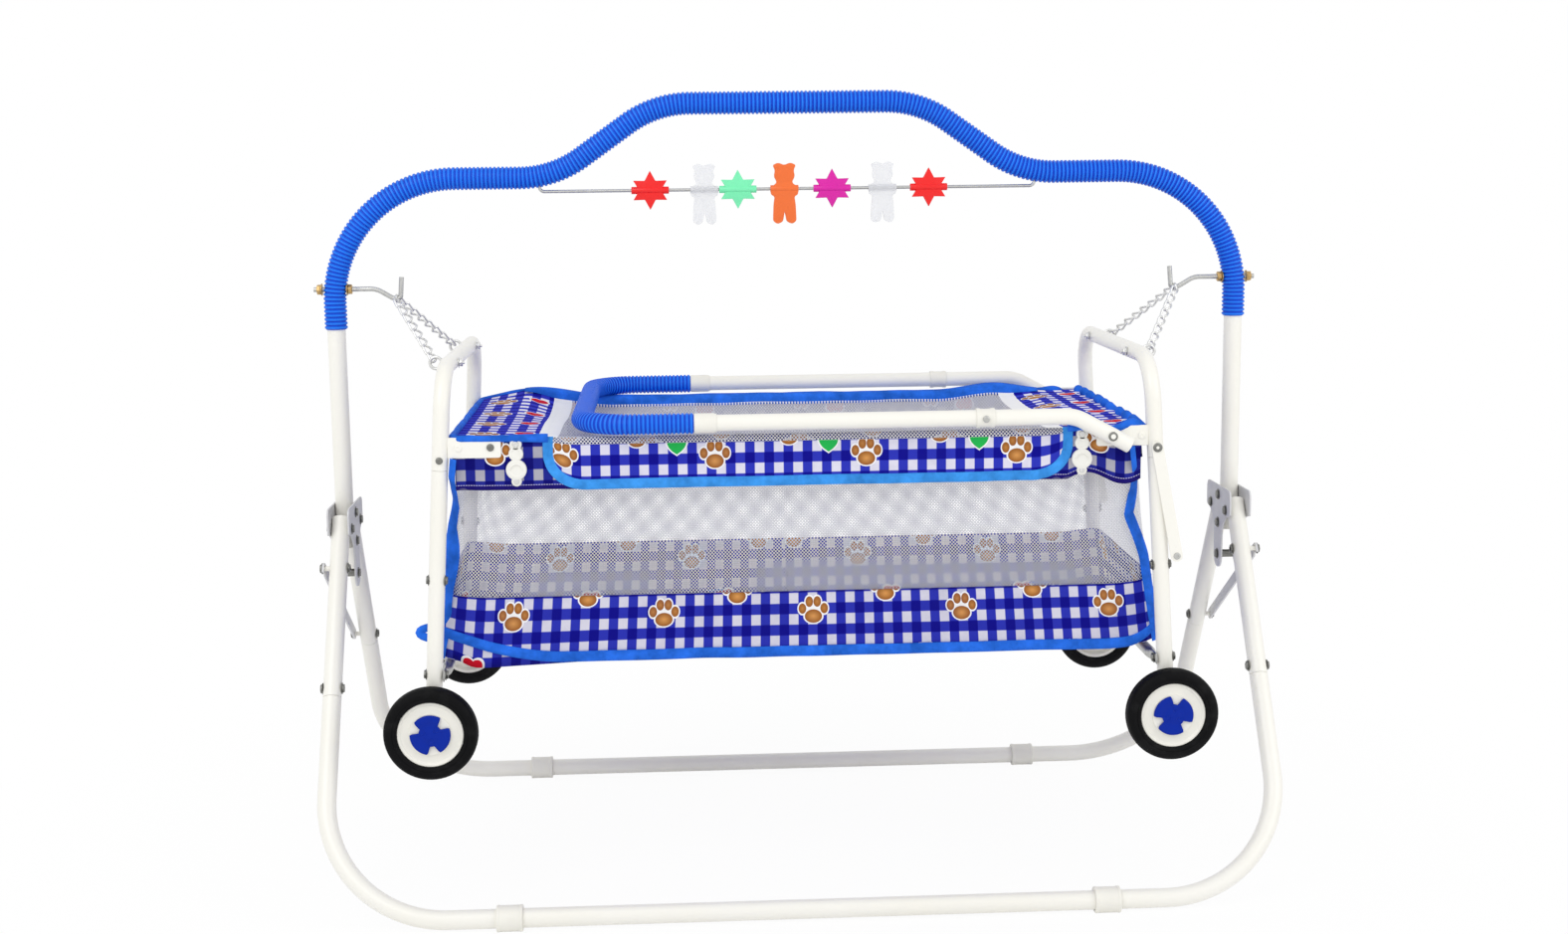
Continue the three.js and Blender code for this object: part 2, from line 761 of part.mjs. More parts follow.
// Locking stays: flat strips pinned on the back legs, hooked over a bolt on the front legs
const stayFrontY = -legPivotY - stayBoltDrop * sin(legLean);
const stayFrontZ = legPivotZ - stayBoltDrop * cos(legLean);
const stayBackY = legPivotY + legJoint * sin(legLean);
const stayBackZ = legPivotZ - legJoint * cos(legLean);
const stayLength = hypot(stayBackY - stayFrontY, stayBackZ - stayFrontZ);
const stayTilt = atan2(stayBackZ - stayFrontZ, stayBackY - stayFrontY);

function addLockingStay(name, side) {
  const half = stayWidth / 2;
  const outline = new THREE.Shape();
  outline.moveTo(0, -half);
  outline.absarc(0, 0, half, -PI / 2, PI / 2, false);
  outline.lineTo(-stayLength, half);
  outline.absarc(-stayLength, 0, half, PI / 2, PI, false);
  const seat = holeFor(boltRadius);
  outline.lineTo(-stayLength - half, -half);
  outline.lineTo(-stayLength - seat, -half);
  outline.lineTo(-stayLength - seat, 0);
  outline.absarc(-stayLength, 0, seat, PI, 0, true);
  outline.lineTo(-stayLength + stayMouthHalf, -half);
  const pinHole = rod(holeFor(boltRadius), at(-overrun, 0, 0), at(stayThickness + overrun, 0, 0));
  const strip = plateAcrossX(outline, stayThickness).subtract(pinHole);
  const mesh = piece(name, strip, zinc);
  mesh.position.set(
    side < 0 ? -standHalfSpan - stayLayer - stayThickness : standHalfSpan + stayLayer,
    stayBackY,
    stayBackZ,
  );
  mesh.rotation.x = stayTilt;
  group.add(mesh);
}

// End bows: an inverted U with welded corner plates, built upright and then splayed
const bowLegX = (z) => bowX + (bowZ - z) * tan(bowSplay);
const cradleBore = cradleTubeRadius - tubeWall;
const cornerPlateY = rimRailY + rimRailRadius + gap + cloth + gap;
const handleSlope = atan2(handleZ - handleTailZ, handleTailX - handleBendX);
const handlePivotZ = handleZ - (handlePivotX - handleBendX) * tan(handleSlope);
const handleInner = handleY - cradleTubeRadius;
const handleOuter = handleY + cradleTubeRadius;
const propInner = bowHalfY + cradleTubeRadius + runningGap;
const propOuter = propInner + propThickness;

function endFrame(side) {
  const frame = new THREE.Group();
  frame.position.set(side * bowX, 0, bowZ);
  frame.rotation.y = -side * bowSplay;
  return frame;
}

// Moves a solid from the cradle's axes into an end frame's own axes
function intoFrame(shape, side) {
  return shape.translate([-side * bowX, 0, -bowZ]).rotate([0, THREE.MathUtils.radToDeg(side * bowSplay), 0]);
}

function addBow(name, side, frame) {
  const line = new BentLine(
    [
      at(0, -bowHalfY, -bowJointDrop),
      at(0, -bowHalfY, 0),
      at(0, bowHalfY, 0),
      at(0, bowHalfY, -bowJointDrop),
    ],
    [bowCornerRadius, bowCornerRadius],
    tightBendStep,
  );
  let bow = tube(line, cradleTubeRadius, cradleBore, tubeSides);
  for (const end of [-1, 1]) {
    const eyeHole = rod(
      holeFor(eyeWire + 2 * gap),
      at(-cradleTubeRadius - overrun, end * eyeY, 0),
      at(cradleTubeRadius + overrun, end * eyeY, 0),
    );
    bow = bow.subtract(eyeHole);
    bow = bow.add(intoFrame(cornerPlate(side, end), side));
    if (side > 0) {
      const face = at(0, end * (bowHalfY + cradleTubeRadius - tubeWall), -bowScrewDrop);
      const neck = at(0, end * (propOuter + gap), -bowScrewDrop);
      const studEnd = at(0, end * (propOuter + gap + rivetHeight), -bowScrewDrop);
      bow = bow.add(rod(boltRadius, face, studEnd)).add(rod(boltHead, neck, studEnd));
    }
  }
  frame.add(piece(name, bow, whiteCoat));
}

// The plate that joins a bow's leg to a rim rail, with the handle's stud on the right
function cornerPlate(side, end) {
  const legX = bowLegX(rimRailZ);
  const innerX = legX - cradleTubeRadius - cornerPlateLength;
  const outerX = legX - cradleTubeRadius + tubeWall;
  const outline = new THREE.BoxGeometry(outerX - innerX, cornerPlateThickness, cornerPlateHeight);
  const middleX = (side * (outerX + innerX)) / 2;
  outline.translate(middleX, end * (cornerPlateY + cornerPlateThickness / 2), rimRailZ);
  let plate = solid(outline);
  if (side > 0) {
    const root = at(handlePivotX, end * cornerPlateY, handlePivotZ);
    const neck = at(handlePivotX, end * (handleOuter + gap), handlePivotZ);
    const cap = at(handlePivotX, end * (handleOuter + gap + rivetHeight), handlePivotZ);
    plate = plate.add(rod(boltRadius, root, cap)).add(rod(boltHead, neck, cap));
  }
  return plate;
}

// Lower legs: they plug into the bows and carry the wheels on stub axles
const axleZ = bowZ - axleDrop * cos(bowSplay);
const axleX = bowX + axleDrop * sin(bowSplay);
const wheelInnerY = bowHalfY + cradleTubeRadius + overrun;
const wheelMiddleY = wheelInnerY + wheelWidth / 2;

function addLowerLeg(name, side, end, frame) {
  const y = end * bowHalfY;
  const top = -bowJointDrop - gap;
  const line = new BentLine([at(0, y, top), at(0, y, -axleDrop - legToeBelow)], [], bendStep);
  let leg = tube(line, cradleTubeRadius, cradleBore, tubeSides);
  leg = leg.add(spigotAt(at(0, y, top), cradleBore));
  const skin = cradleTubeRadius - tubeWall;
  const outerHead = side * (cradleTubeRadius + boltHeadHeight);
  const barFace = cradleTubeRadius + runningGap;
  const nutStart = barFace + crossBarFlat + gap;
  const nutEnd = nutStart + boltHeadHeight;
  const boltSpot = (x) => at(x, y, -lowBoltDrop);
  leg = leg.add(rod(boltRadius, boltSpot(-side * skin), boltSpot(-side * nutEnd)));
  leg = leg.add(rod(boltHead, boltSpot(side * skin), boltSpot(outerHead)));
  leg = leg.add(rod(boltHead, boltSpot(-side * nutStart), boltSpot(-side * nutEnd)));
  const axle = rod(
    axleRadius,
    at(side * axleX, end * (bowHalfY + cradleTubeRadius - 2 * tubeWall), axleZ),
    at(side * axleX, end * (wheelInnerY + wheelWidth - hubWeb), axleZ),
  );
  leg = leg.add(intoFrame(axle, side));
  frame.add(piece(name, leg, whiteCoat));
}

// Cross bars: round bars with flattened, drilled ends, bolted inside the lower legs
function addCrossBar(name, side, frame) {
  const x = -side * crossBarX;
  const flatStart = bowHalfY + cradleTubeRadius - crossBarFlatLength;
  let bar = rod(crossBarRadius, at(x, -flatStart, -lowBoltDrop), at(x, flatStart, -lowBoltDrop));
  for (const end of [-1, 1]) {
    const flat = new THREE.BoxGeometry(crossBarFlat, crossBarFlatLength, 2 * crossBarRadius);
    flat.translate(x, end * (flatStart + crossBarFlatLength / 2 - overrun), -lowBoltDrop);
    const hole = rod(
      holeFor(boltRadius),
      at(x - crossBarRadius, end * bowHalfY, -lowBoltDrop),
      at(x + crossBarRadius, end * bowHalfY, -lowBoltDrop),
    );
    bar = bar.add(solid(flat)).subtract(hole);
  }
  frame.add(piece(name, bar, zinc));
}

// Rim rails: straight bars between the corner plates, inside the basket's hem
function addRimRail(name, end) {
  const halfLength = bowLegX(rimRailZ + rimRailRadius) - cradleTubeRadius - runningGap;
  const y = end * rimRailY;
  const line = new BentLine([at(-halfLength, y, rimRailZ), at(halfLength, y, rimRailZ)], [], bendStep);
  group.add(piece(name, tube(line, rimRailRadius, rimRailRadius - tubeWall, rodSides), whiteCoat));
}

// Basket: a fabric tub with net windows, hung over the rim rails by a hem that falls as a valance
function roundedRing(halfX, halfY, radius, z) {
  const corners = [
    { x: halfX - radius, y: halfY - radius, turn: 0 },
    { x: radius - halfX, y: halfY - radius, turn: PI / 2 },
    { x: radius - halfX, y: radius - halfY, turn: PI },
    { x: halfX - radius, y: radius - halfY, turn: (3 * PI) / 2 },
  ];
  const steps = 3;
  return corners.flatMap(({ x, y, turn }) =>
    Array.from({ length: steps + 1 }, (_, i) => {
      const angle = turn + (PI / 2) * (i / steps);
      return at(x + radius * cos(angle), y + radius * sin(angle), z);
    }));
}

// The tub's half widths at each height, from the floor to the rim
const tubMiddleHalfX = (basketFloorHalfX + basketTopHalfX) / 2;
const tubLevels = [
  { z: basketFloorZ, halfX: basketFloorHalfX - basketCorner / 2, halfY: basketFloorHalfY - cloth },
  { z: basketFloorZ + basketCorner / 2, halfX: basketFloorHalfX, halfY: basketFloorHalfY },
  { z: basketBulgeZ, halfX: basketBulgeHalfX, halfY: (basketFloorHalfY + wallY) / 2 },
  { z: (basketBulgeZ + valanceEndZ) / 2, halfX: tubMiddleHalfX, halfY: wallY - cloth },
  { z: hemTopZ, halfX: basketTopHalfX, halfY: wallY },
];

function addBasket() {
  const outerRing = ({ halfX, halfY, z }) => roundedRing(halfX, halfY, basketCorner, z);
  const outer = loft(tubLevels.map(outerRing), false);
  const innerRing = ({ halfX, halfY }, z) =>
    roundedRing(halfX - cloth, halfY - cloth, basketCorner - cloth, z);
  const inner = tubLevels.map((level, i) => innerRing(level, level.z + (i ? 0 : cloth)));
  inner.push(innerRing(tubLevels[tubLevels.length - 1], hemTopZ + overrun));
  let basket = outer.subtract(loft(inner, false));
  for (const end of [-1, 1]) {
    const hemWidth = hemY + cloth - wallY + cloth / 2;
    const top = new THREE.BoxGeometry(2 * basketTopHalfX - 2 * basketCorner, hemWidth, cloth);
    top.translate(0, end * (wallY - cloth / 2 + hemY + cloth) / 2, hemTopZ - cloth / 2);
    const valance = new THREE.BoxGeometry(2 * basketTopHalfX - overrun, cloth, hemTopZ - valanceEndZ);
    valance.translate(0, end * (hemY + cloth / 2), (hemTopZ + valanceEndZ) / 2);
    basket = basket.add(solid(top)).add(solid(valance));
  }
  group.add(piece("basket", basket, blueGingham));
}

function addBaseBoard() {
  const bottomZ = basketFloorZ + cloth + gap;
  const halfX = basketFloorHalfX - basketCorner / 2 - boardMargin;
  const halfY = basketFloorHalfY - boardMargin;
  const rings = [bottomZ, bottomZ + boardThickness].map((z) => roundedRing(halfX, halfY, basketCorner, z));
  group.add(piece("base_board", loft(rings, false), plywood));
}

// Net cover: a panel that spans the rim and sags between its hems, with a flap that falls over
// the front valance
const coverEdgeShares = [-1, -coverFlatShare, -0.45, 0, 0.45, coverFlatShare, 1];

function addNetCover() {
  const bottomZ = hemTopZ + gap;
  const halfX = basketTopHalfX + coverOverhang;
  const halfY = hemY + cloth;
  const sagAt = (shareX, shareY) => {
    const far = Math.max(Math.abs(shareX), Math.abs(shareY)) / coverFlatShare;
    return coverSag * Math.max(0, 1 - far * far);
  };
  const rings = coverEdgeShares.map((shareX) => {
    const spot = (shareY, lift) => at(shareX * halfX, shareY * halfY, bottomZ - sagAt(shareX, shareY) + lift);
    const under = coverEdgeShares.map((shareY) => spot(shareY, 0));
    const over = coverEdgeShares.map((shareY) => spot(shareY, cloth)).reverse();
    return [...under, ...over];
  });
  const flap = new THREE.Shape();
  flap.moveTo(flapLeftX, bottomZ + cloth);
  flap.lineTo(flapLeftX, flapEndZ + flapCorner);
  flap.quadraticCurveTo(flapLeftX, flapEndZ, flapLeftX + flapCorner, flapEndZ);
  flap.lineTo(flapRightX - flapCorner, flapEndZ);
  flap.quadraticCurveTo(flapRightX, flapEndZ, flapRightX, flapEndZ + flapCorner);
  flap.lineTo(flapRightX, bottomZ + cloth);
  const hanging = plateAcrossY(flap, cloth).translate([0, -halfY - gap, 0]);
  const fold = new THREE.BoxGeometry(flapRightX - flapLeftX, foldDepth, cloth);
  fold.translate((flapRightX + flapLeftX) / 2, cloth / 2 - halfY - gap, bottomZ + cloth / 2);
  group.add(piece("net_cover", loft(rings, false).add(hanging).add(solid(fold)), netCloth));
}

// Net clips: double-lobed plastic toggles on the front valance, with each lobe's place below the
// hem and its radius as shares of the clip's height
const clipLobes = [
  { dropShare: 0.095, radiusShare: 0.125 },
  { dropShare: 0.291, radiusShare: 0.152 },
  { dropShare: 0.621, radiusShare: 0.214 },
  { dropShare: 0.862, radiusShare: 0.107 },
];

function addNetClip(name, side) {
  const backY = -(hemY + cloth + gap);
  const lobes = clipLobes.map(({ dropShare, radiusShare }) => {
    const spot = (y) => at(side * clipX, y, hemTopZ - dropShare * clipHeight);
    return rod(radiusShare * clipHeight, spot(backY), spot(backY - clipThickness), rodSides);
  });
  group.add(piece(name, union(lobes), ivoryPlastic));
}

// Chains: one length on each hook, from the front eye bolt to the back one
function chainLink(centre, along, widthways, halfInner) {
  const lobe = linkHalfWidth - chainWire;
  const straight = halfInner + chainWire - lobe;
  const facing = new THREE.Vector3().crossVectors(along, widthways);
  const steps = 2;
  const spots = [];
  for (const way of [1, -1]) {
    for (let i = 0; i <= steps; i++) {
      const angle = (PI * i) / steps - PI / 2;
      const reach = straight + lobe * cos(angle);
      spots.push({ along: way * reach, across: way * lobe * sin(angle), angle, way });
    }
  }
  const rings = spots.map((spot) => {
    const point = centre.clone().addScaledVector(along, spot.along).addScaledVector(widthways, spot.across);
    const outward = along.clone().multiplyScalar(spot.way * cos(spot.angle));
    outward.addScaledVector(widthways, spot.way * sin(spot.angle));
    return circlePath(chainWire, wireSides).map((dot) =>
      point.clone().addScaledVector(outward, dot.x).addScaledVector(facing, -dot.y));
  });
  return loft(rings, true);
}

function eyeBolt(side, end) {
  const ring = new THREE.TorusGeometry(eyeRadius, eyeWire, wireSides, rodSides);
  ring.applyMatrix4(new THREE.Matrix4().makeBasis(X, Z, Y.clone().negate()));
  const spot = (x) => at(side * x, end * eyeY, bowZ);
  const nutX = bowX - cradleTubeRadius - gap;
  ring.translate(side * (bowX + eyeOut), end * eyeY, bowZ);
  const shank = rod(eyeWire, spot(bowX + eyeOut - eyeRadius), spot(nutX - nutHeight - eyeStickOut));
  return solid(ring).add(shank).add(rod(eyeNutRadius, spot(nutX), spot(nutX - nutHeight)));
}

function addChain(name, side) {
  const middleZ = hookSeatZ + hookRadius + gap + 2 * chainWire - linkHalfWidth;
  const middle = at(side * hookSeatX, 0, middleZ);
  const bite = 2 * chainWire * (1 - linkBite);
  const eyePull = eyeRadius - eyeWire - chainWire * (1 - linkBite);
  const run = middle.distanceTo(at(side * (bowX + eyeOut), eyeY, bowZ));
  const pitch = (run - eyePull) / (linksPerRun + 1 / 2);
  const halfInner = pitch / 2 - chainWire * linkBite;
  const parts = [chainLink(middle, Y, Z, halfInner)];
  for (const end of [-1, 1]) {
    const eye = at(side * (bowX + eyeOut), end * eyeY, bowZ);
    const hang = middle.clone().addScaledVector(Y, end * (halfInner + chainWire));
    const pull = hang.clone().sub(eye).setY(0).normalize();
    const outer = eye.clone().addScaledVector(pull, eyePull);
    const along = outer.clone().sub(hang).normalize();
    const first = hang.clone().addScaledVector(along, -bite);
    const last = outer.clone().addScaledVector(along, chainWire * (1 - linkBite));
    const step = (last.distanceTo(first) - bite) / linksPerRun;
    const inner = (step + bite) / 2 - chainWire;
    const level = X.clone().addScaledVector(along, -along.x).normalize();
    const tilted = new THREE.Vector3().crossVectors(along, level);
    for (let i = 0; i < linksPerRun; i++) {
      const centre = first.clone().addScaledVector(along, (step + bite) / 2 + i * step);
      parts.push(chainLink(centre, along, i % 2 ? tilted : level, inner));
    }
    parts.push(eyeBolt(side, end));
  }
  group.add(piece(name, union(parts), zinc));
}

// Handle: a U of tube folded down over the cradle, with a ribbed grip
const handleLine = new BentLine(
  [
    at(handleTailX, -handleY, handleTailZ),
    at(handleBendX, -handleY, handleZ),
    at(handleGripX, -handleY, handleZ),
    at(handleGripX, handleY, handleZ),
    at(handleBendX, handleY, handleZ),
    at(handleTailX, handleY, handleTailZ),
  ],
  [handleBendRadius, handleCorner, handleCorner, handleBendRadius],
  bendStep,
);

// A plastic collar round one arm of the handle
function handleCollar(fromX, length, y) {
  const line = new BentLine([at(fromX, y, handleZ), at(fromX + length, y, handleZ)], [], bendStep);
  return tube(line, ferruleRadius, cradleTubeRadius - tubeWall / 2, tubeSides, tubeSides);
}

function addHandle() {
  let handle = tube(handleLine, cradleTubeRadius, cradleBore, tubeSides);
  for (const end of [-1, 1]) {
    const y = end * handleY;
    const hole = rod(
      holeFor(boltRadius),
      at(handlePivotX, end * (handleInner - overrun), handlePivotZ),
      at(handlePivotX, end * (handleOuter + overrun), handlePivotZ),
    );
    handle = handle.subtract(hole);
    const ferruleX = gripSleeveEndX + gap;
    handle = handle.add(handleCollar(ferruleX, ferruleLength, y));
    handle = handle.add(handleCollar(gripJointX - gripCapLength / 2, gripCapLength, y));
  }
  group.add(piece("handle_tube", handle, whiteCoat));
  const bendLength = handleBendRadius * handleSlope;
  const tailLength = hypot(handleTailX - handleBendX, handleZ - handleTailZ);
  const setback = handleBendRadius * tan(handleSlope / 2);
  const toGrip = tailLength - setback + bendLength + (handleBendX - setback - gripSleeveEndX);
  const scale = cradleTubeRadius / standTubeRadius;
  const sleeve = ribbedSleeve(handleLine, toGrip, handleLine.length - toGrip, gripRibs, Z, scale);
  group.add(piece("handle_sleeve", sleeve, blueRubber));
}

// Stay bars that hold the raised handle, hanging from the right bow's screws
function addProp(name, end) {
  const half = propWidth / 2;
  const outline = new THREE.Shape();
  outline.moveTo(-half, 0);
  outline.lineTo(-half, -propLength);
  outline.absarc(0, -propLength, half, PI, 2 * PI, false);
  outline.lineTo(half, 0);
  outline.absarc(0, 0, half, 0, PI, false);
  let bar = plateAcrossY(outline, propThickness).translate([0, propThickness / 2, 0]);
  const holeEnd = propThickness + overrun;
  bar = bar.subtract(rod(holeFor(boltRadius), at(0, -holeEnd, 0), at(0, holeEnd, 0)));
  const front = end * (propThickness / 2 + rivetHeight);
  bar = bar.add(rod(rivetRadius, at(0, 0, -propLength), at(0, front, -propLength)));
  const mesh = piece(name, bar, zinc);
  const pivotX = bowX + bowScrewDrop * sin(bowSplay);
  const pivotZ = bowZ - bowScrewDrop * cos(bowSplay);
  mesh.position.set(pivotX, end * (propInner + propThickness / 2), pivotZ);
  mesh.rotation.y = -propLean;
  group.add(mesh);
}

// Wheels: rubber tyre, white hub turning on the stub axle, blue notched cap
function lathe(profile) {
  const points = profile.map(([radius, height]) => new THREE.Vector2(radius, height));
  points.push(points[0].clone());
  return solid(new THREE.LatheGeometry(points, wheelSides));
}

function addWheel(corner, side, end) {
  const half = wheelWidth / 2;
  const rimHold = rimRadius + gap;
  const tyre = lathe([
    [rimHold, -half],
    [wheelRadius - tyreCorner, -half],
    [wheelRadius, -half + tyreCorner],
    [wheelRadius, half - tyreCorner],
    [wheelRadius - tyreCorner, half],
    [rimHold, half],
  ]);
  const bore = (axleRadius + runningGap) / cos(PI / wheelSides);
  const webFace = half - hubWeb;
  const hub = lathe([
    [bore, -half],
    [hubBoss, -half],
    [hubBoss, webFace - hubWeb],
    [rimRadius, webFace - hubWeb],
    [rimRadius, webFace],
    [bore, webFace],
  ]);
  const outline = new THREE.Shape();
  const lobes = 3;
  const steps = 18;
  for (let i = 0; i < steps; i++) {
    const angle = (2 * PI * i) / steps;
    const dip = Math.max(0, cos(lobes * angle) - capNotchEdgeShare) / (1 - capNotchEdgeShare);
    const radius = capRadius * (1 - capNotchShare * dip);
    if (i) outline.lineTo(radius * cos(angle), radius * sin(angle));
    else outline.moveTo(radius * cos(angle), radius * sin(angle));
  }
  const cap = plateAcrossY(outline, capThickness);
  const wheel = new THREE.Group();
  wheel.position.set(side * axleX, end * wheelMiddleY, axleZ);
  const turned = (shape) => shape.rotate([0, 0, end < 0 ? 180 : 0]);
  wheel.add(piece(`${corner}_tyre`, turned(tyre), blackRubber));
  wheel.add(piece(`${corner}_hub`, turned(hub), ivoryPlastic));
  const capMesh = piece(`${corner}_cap`, cap, bluePlastic);
  capMesh.position.y = end * (webFace + gap) + (end > 0 ? capThickness : 0);
  capMesh.rotation.y = side < 0 ? PI : -PI / 2;
  wheel.add(capMesh);
  group.add(wheel);
}

addArch();
addToyRod();
addToys();
for (const [word, side] of [["left", -1], ["right", 1]]) {
  addHingeBracket(`${word}_hinge_bracket`, side);
  addHook(`${word}_hook`, side);
  addLockingStay(`${word}_locking_stay`, side);
  addChain(`${word}_chain`, side);
  const frame = endFrame(side);
  addBow(`${word}_end_bow`, side, frame);
  addCrossBar(`${word}_cross_bar`, side, frame);
  for (const [place, end] of [["front", -1], ["back", 1]]) {
    addLowerLeg(`${place}_${word}_lower_leg`, side, end, frame);
    addWheel(`${place}_${word}`, side, end);
    addFoot(`${place}_${word}_foot`, side * footX, end * footY);
  }
  group.add(frame);
}
addLegFrame("front", -1);
addLegFrame("back", 1);
for (const [place, end] of [["front", -1], ["back", 1]]) {
  addRimRail(`${place}_rim_rail`, end);
  addProp(`${place}_handle_stay`, end);
}
addBasket();
addBaseBoard();
addNetCover();
addNetClip("left_net_clip", -1);
addNetClip("right_net_clip", 1);
addHandle();

export default group;
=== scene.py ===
"""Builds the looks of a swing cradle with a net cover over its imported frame.

X runs along the cradle, Y to the back and Z up, in metres, and the floor is z = 0.
"""

from contextlib import contextmanager
from math import atan2, ceil, cos, hypot, pi, radians, sin, sqrt, tan, tau

import bmesh
import bpy
from bpy.props import FloatProperty, FloatVectorProperty, PointerProperty
from mathutils import Matrix, Vector, noise


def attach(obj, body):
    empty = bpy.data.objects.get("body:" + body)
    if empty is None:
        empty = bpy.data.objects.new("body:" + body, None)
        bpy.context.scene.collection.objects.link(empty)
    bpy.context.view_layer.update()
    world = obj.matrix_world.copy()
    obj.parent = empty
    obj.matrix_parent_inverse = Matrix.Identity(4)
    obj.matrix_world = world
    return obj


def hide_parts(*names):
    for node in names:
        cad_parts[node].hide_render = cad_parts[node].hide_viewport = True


bl_info = {
    "name": "Swing Cradle Builder",
    "version": (1, 0, 0),
    "blender": (4, 5, 0),
    "location": "View3D > Sidebar > Cradle",
    "description": "Builds a hanging cradle with its folding stand, basket and net cover",
    "category": "Object",
}

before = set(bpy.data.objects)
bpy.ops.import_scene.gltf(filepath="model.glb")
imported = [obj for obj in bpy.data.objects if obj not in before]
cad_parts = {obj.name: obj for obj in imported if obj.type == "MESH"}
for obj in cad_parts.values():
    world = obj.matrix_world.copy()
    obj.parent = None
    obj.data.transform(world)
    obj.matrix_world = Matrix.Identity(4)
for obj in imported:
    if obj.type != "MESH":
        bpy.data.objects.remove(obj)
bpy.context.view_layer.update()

X = Vector((1, 0, 0))
Y = Vector((0, 1, 0))
Z = Vector((0, 0, 1))
SIDES = (("left", -1), ("right", 1))
ENDS = (("front", -1), ("back", 1))
FRONT, BACK = -1, 1
LEFT, RIGHT = -1, 1

# How a flat plate is turned: its Y upright in the stand's side planes, or in the cradle's front and back
UPRIGHT = Matrix(((0, 0, 1, 0), (1, 0, 0, 0), (0, 1, 0, 0), (0, 0, 0, 1)))
FACING_BACK = Matrix(((1, 0, 0, 0), (0, 0, 1, 0), (0, 1, 0, 0), (0, 0, 0, 1)))

# Sizes that several pieces share
SHANK = 0.003
JOINT_GAP = 0.0003
SPIGOT_HALF = 0.028
STRIP = 0.0025
HINGE_PLATE = 0.002
HOOKED_BOLT_DROP = 0.052
TUB_CORNER = 0.026


# Sizes and colours


def size(name, description, default):
    return FloatProperty(name=name, description=description, default=default, unit="LENGTH", precision=4)


def angle(name, description, degrees):
    return FloatProperty(name=name, description=description, default=radians(degrees), subtype="ANGLE")


def linear(channel):
    share = channel / 255
    return share / 12.92 if share <= 0.04045 else ((share + 0.055) / 1.055) ** 2.4


def colour(name, description, red, green, blue):
    return FloatVectorProperty(
        name=name, description=description, default=(linear(red), linear(green), linear(blue)),
        subtype="COLOR", min=0, max=1,
    )


class StandSizes(bpy.types.PropertyGroup):
    half_span: size("Half span", "Half the distance between the arch's legs", 0.560)
    tube: size("Tube radius", "Outside radius of the stand's tube", 0.0111)
    bore: size("Tube bore", "Inside radius of the stand's tube", 0.0098)
    foot_height: size("Arch end height", "Height of the arch's lower ends", 0.395)
    shoulder: size("Shoulder height", "Height of the arch's shoulders", 0.850)
    crown: size("Crown height", "Height of the middle of the arch", 0.938)
    knee: size("Knee distance", "Distance of the knees from the middle", 0.288)
    rise: angle("Rise angle", "Slope from the shoulders up to the crown", 35)
    corner_bend: size("Corner bend", "Bend radius of the shoulders", 0.150)
    knee_bend: size("Knee bend", "Bend radius of the knees", 0.134)
    sleeve_start: size("Sleeve start", "Height of the sleeve's lower ends", 0.668)
    rib_crest: size("Rib crest", "Radius over the sleeve's ribs", 0.0140)
    rib_valley: size("Rib valley", "Radius in the sleeve's grooves", 0.0125)
    rib_pitch: size("Rib pitch", "Distance from rib to rib", 0.0050)
    hook_height: size("Hook height", "Height of the hooks' rods", 0.717)
    toy_height: size("Toy bar height", "Height of the bar that carries the toys", 0.833)
    pivot_y: size("Leg pivot offset", "Distance of the leg pivots from the middle", 0.034)
    pivot_z: size("Leg pivot height", "Height of the leg pivots", 0.424)
    rail_y: size("Rail distance", "Distance of the floor rails from the middle", 0.290)
    rail_z: size("Rail height", "Height of the floor rails' centre line", 0.013)
    leg_joint: size("Leg joint", "Distance down the leg to its joint", 0.205)
    rail_bend: size("Rail bend", "Bend radius of the rails' corners", 0.145)


class CradleSizes(bpy.types.PropertyGroup):
    tube: size("Tube radius", "Outside radius of the cradle's tube", 0.0096)
    bore: size("Tube bore", "Inside radius of the cradle's tube", 0.0083)
    bow_x: size("Bow distance", "Distance of the end bows from the middle", 0.410)
    bow_z: size("Bow height", "Height of the end bows", 0.635)
    bow_y: size("Bow half width", "Half the distance between a bow's legs", 0.195)
    bow_bend: size("Bow bend", "Bend radius of the bows' corners", 0.050)
    splay: angle("Splay", "Lean of the end frames", 3.5)
    joint_drop: size("Joint drop", "Distance down to the legs' joint", 0.116)
    screw_drop: size("Screw drop", "Distance down to the stay bars' screw", 0.104)
    bolt_drop: size("Low bolt drop", "Distance down to the cross bars", 0.358)
    axle_drop: size("Axle drop", "Distance down to the axles", 0.422)
    wheel: size("Wheel radius", "Outside radius of the tyres", 0.055)
    wheel_width: size("Wheel width", "Width of the tyres", 0.024)
    rim_z: size("Rim height", "Height of the rim rails", 0.545)
    rim_y: size("Rim distance", "Distance of the rim rails from the middle", 0.1887)
    rim_rail: size("Rim rail radius", "Radius of the rim rails", 0.006)
    handle_z: size("Handle height", "Height of the folded handle", 0.570)
    handle_y: size("Handle half width", "Half the distance between the handle's arms", 0.210)


class ClothSizes(bpy.types.PropertyGroup):
    check: size("Check", "Width of one repeat of the gingham", 0.0223)
    net: size("Net pitch", "Distance from hole to hole in the net", 0.0040)
    floor_z: size("Floor height", "Height of the basket's floor", 0.2852)
    band_z: size("Band height", "Height of the top of the gingham band", 0.362)
    hem_z: size("Hem height", "Height of the top of the hem", 0.5533)
    valance_z: size("Valance height", "Height of the lower edge of the valance", 0.495)
    top_x: size("Rim half length", "Half the basket's length at the rim", 0.400)
    floor_x: size("Floor half length", "Half the basket's length at the floor", 0.438)
    flap_left: size("Flap's left edge", "Position of the flap's left edge", -0.292)
    flap_right: size("Flap's right edge", "Position of the flap's right edge", 0.312)
    flap_z: size("Flap height", "Height of the flap's lower edge", 0.497)
    tape: size("Binding width", "Width of the blue binding", 0.0130)


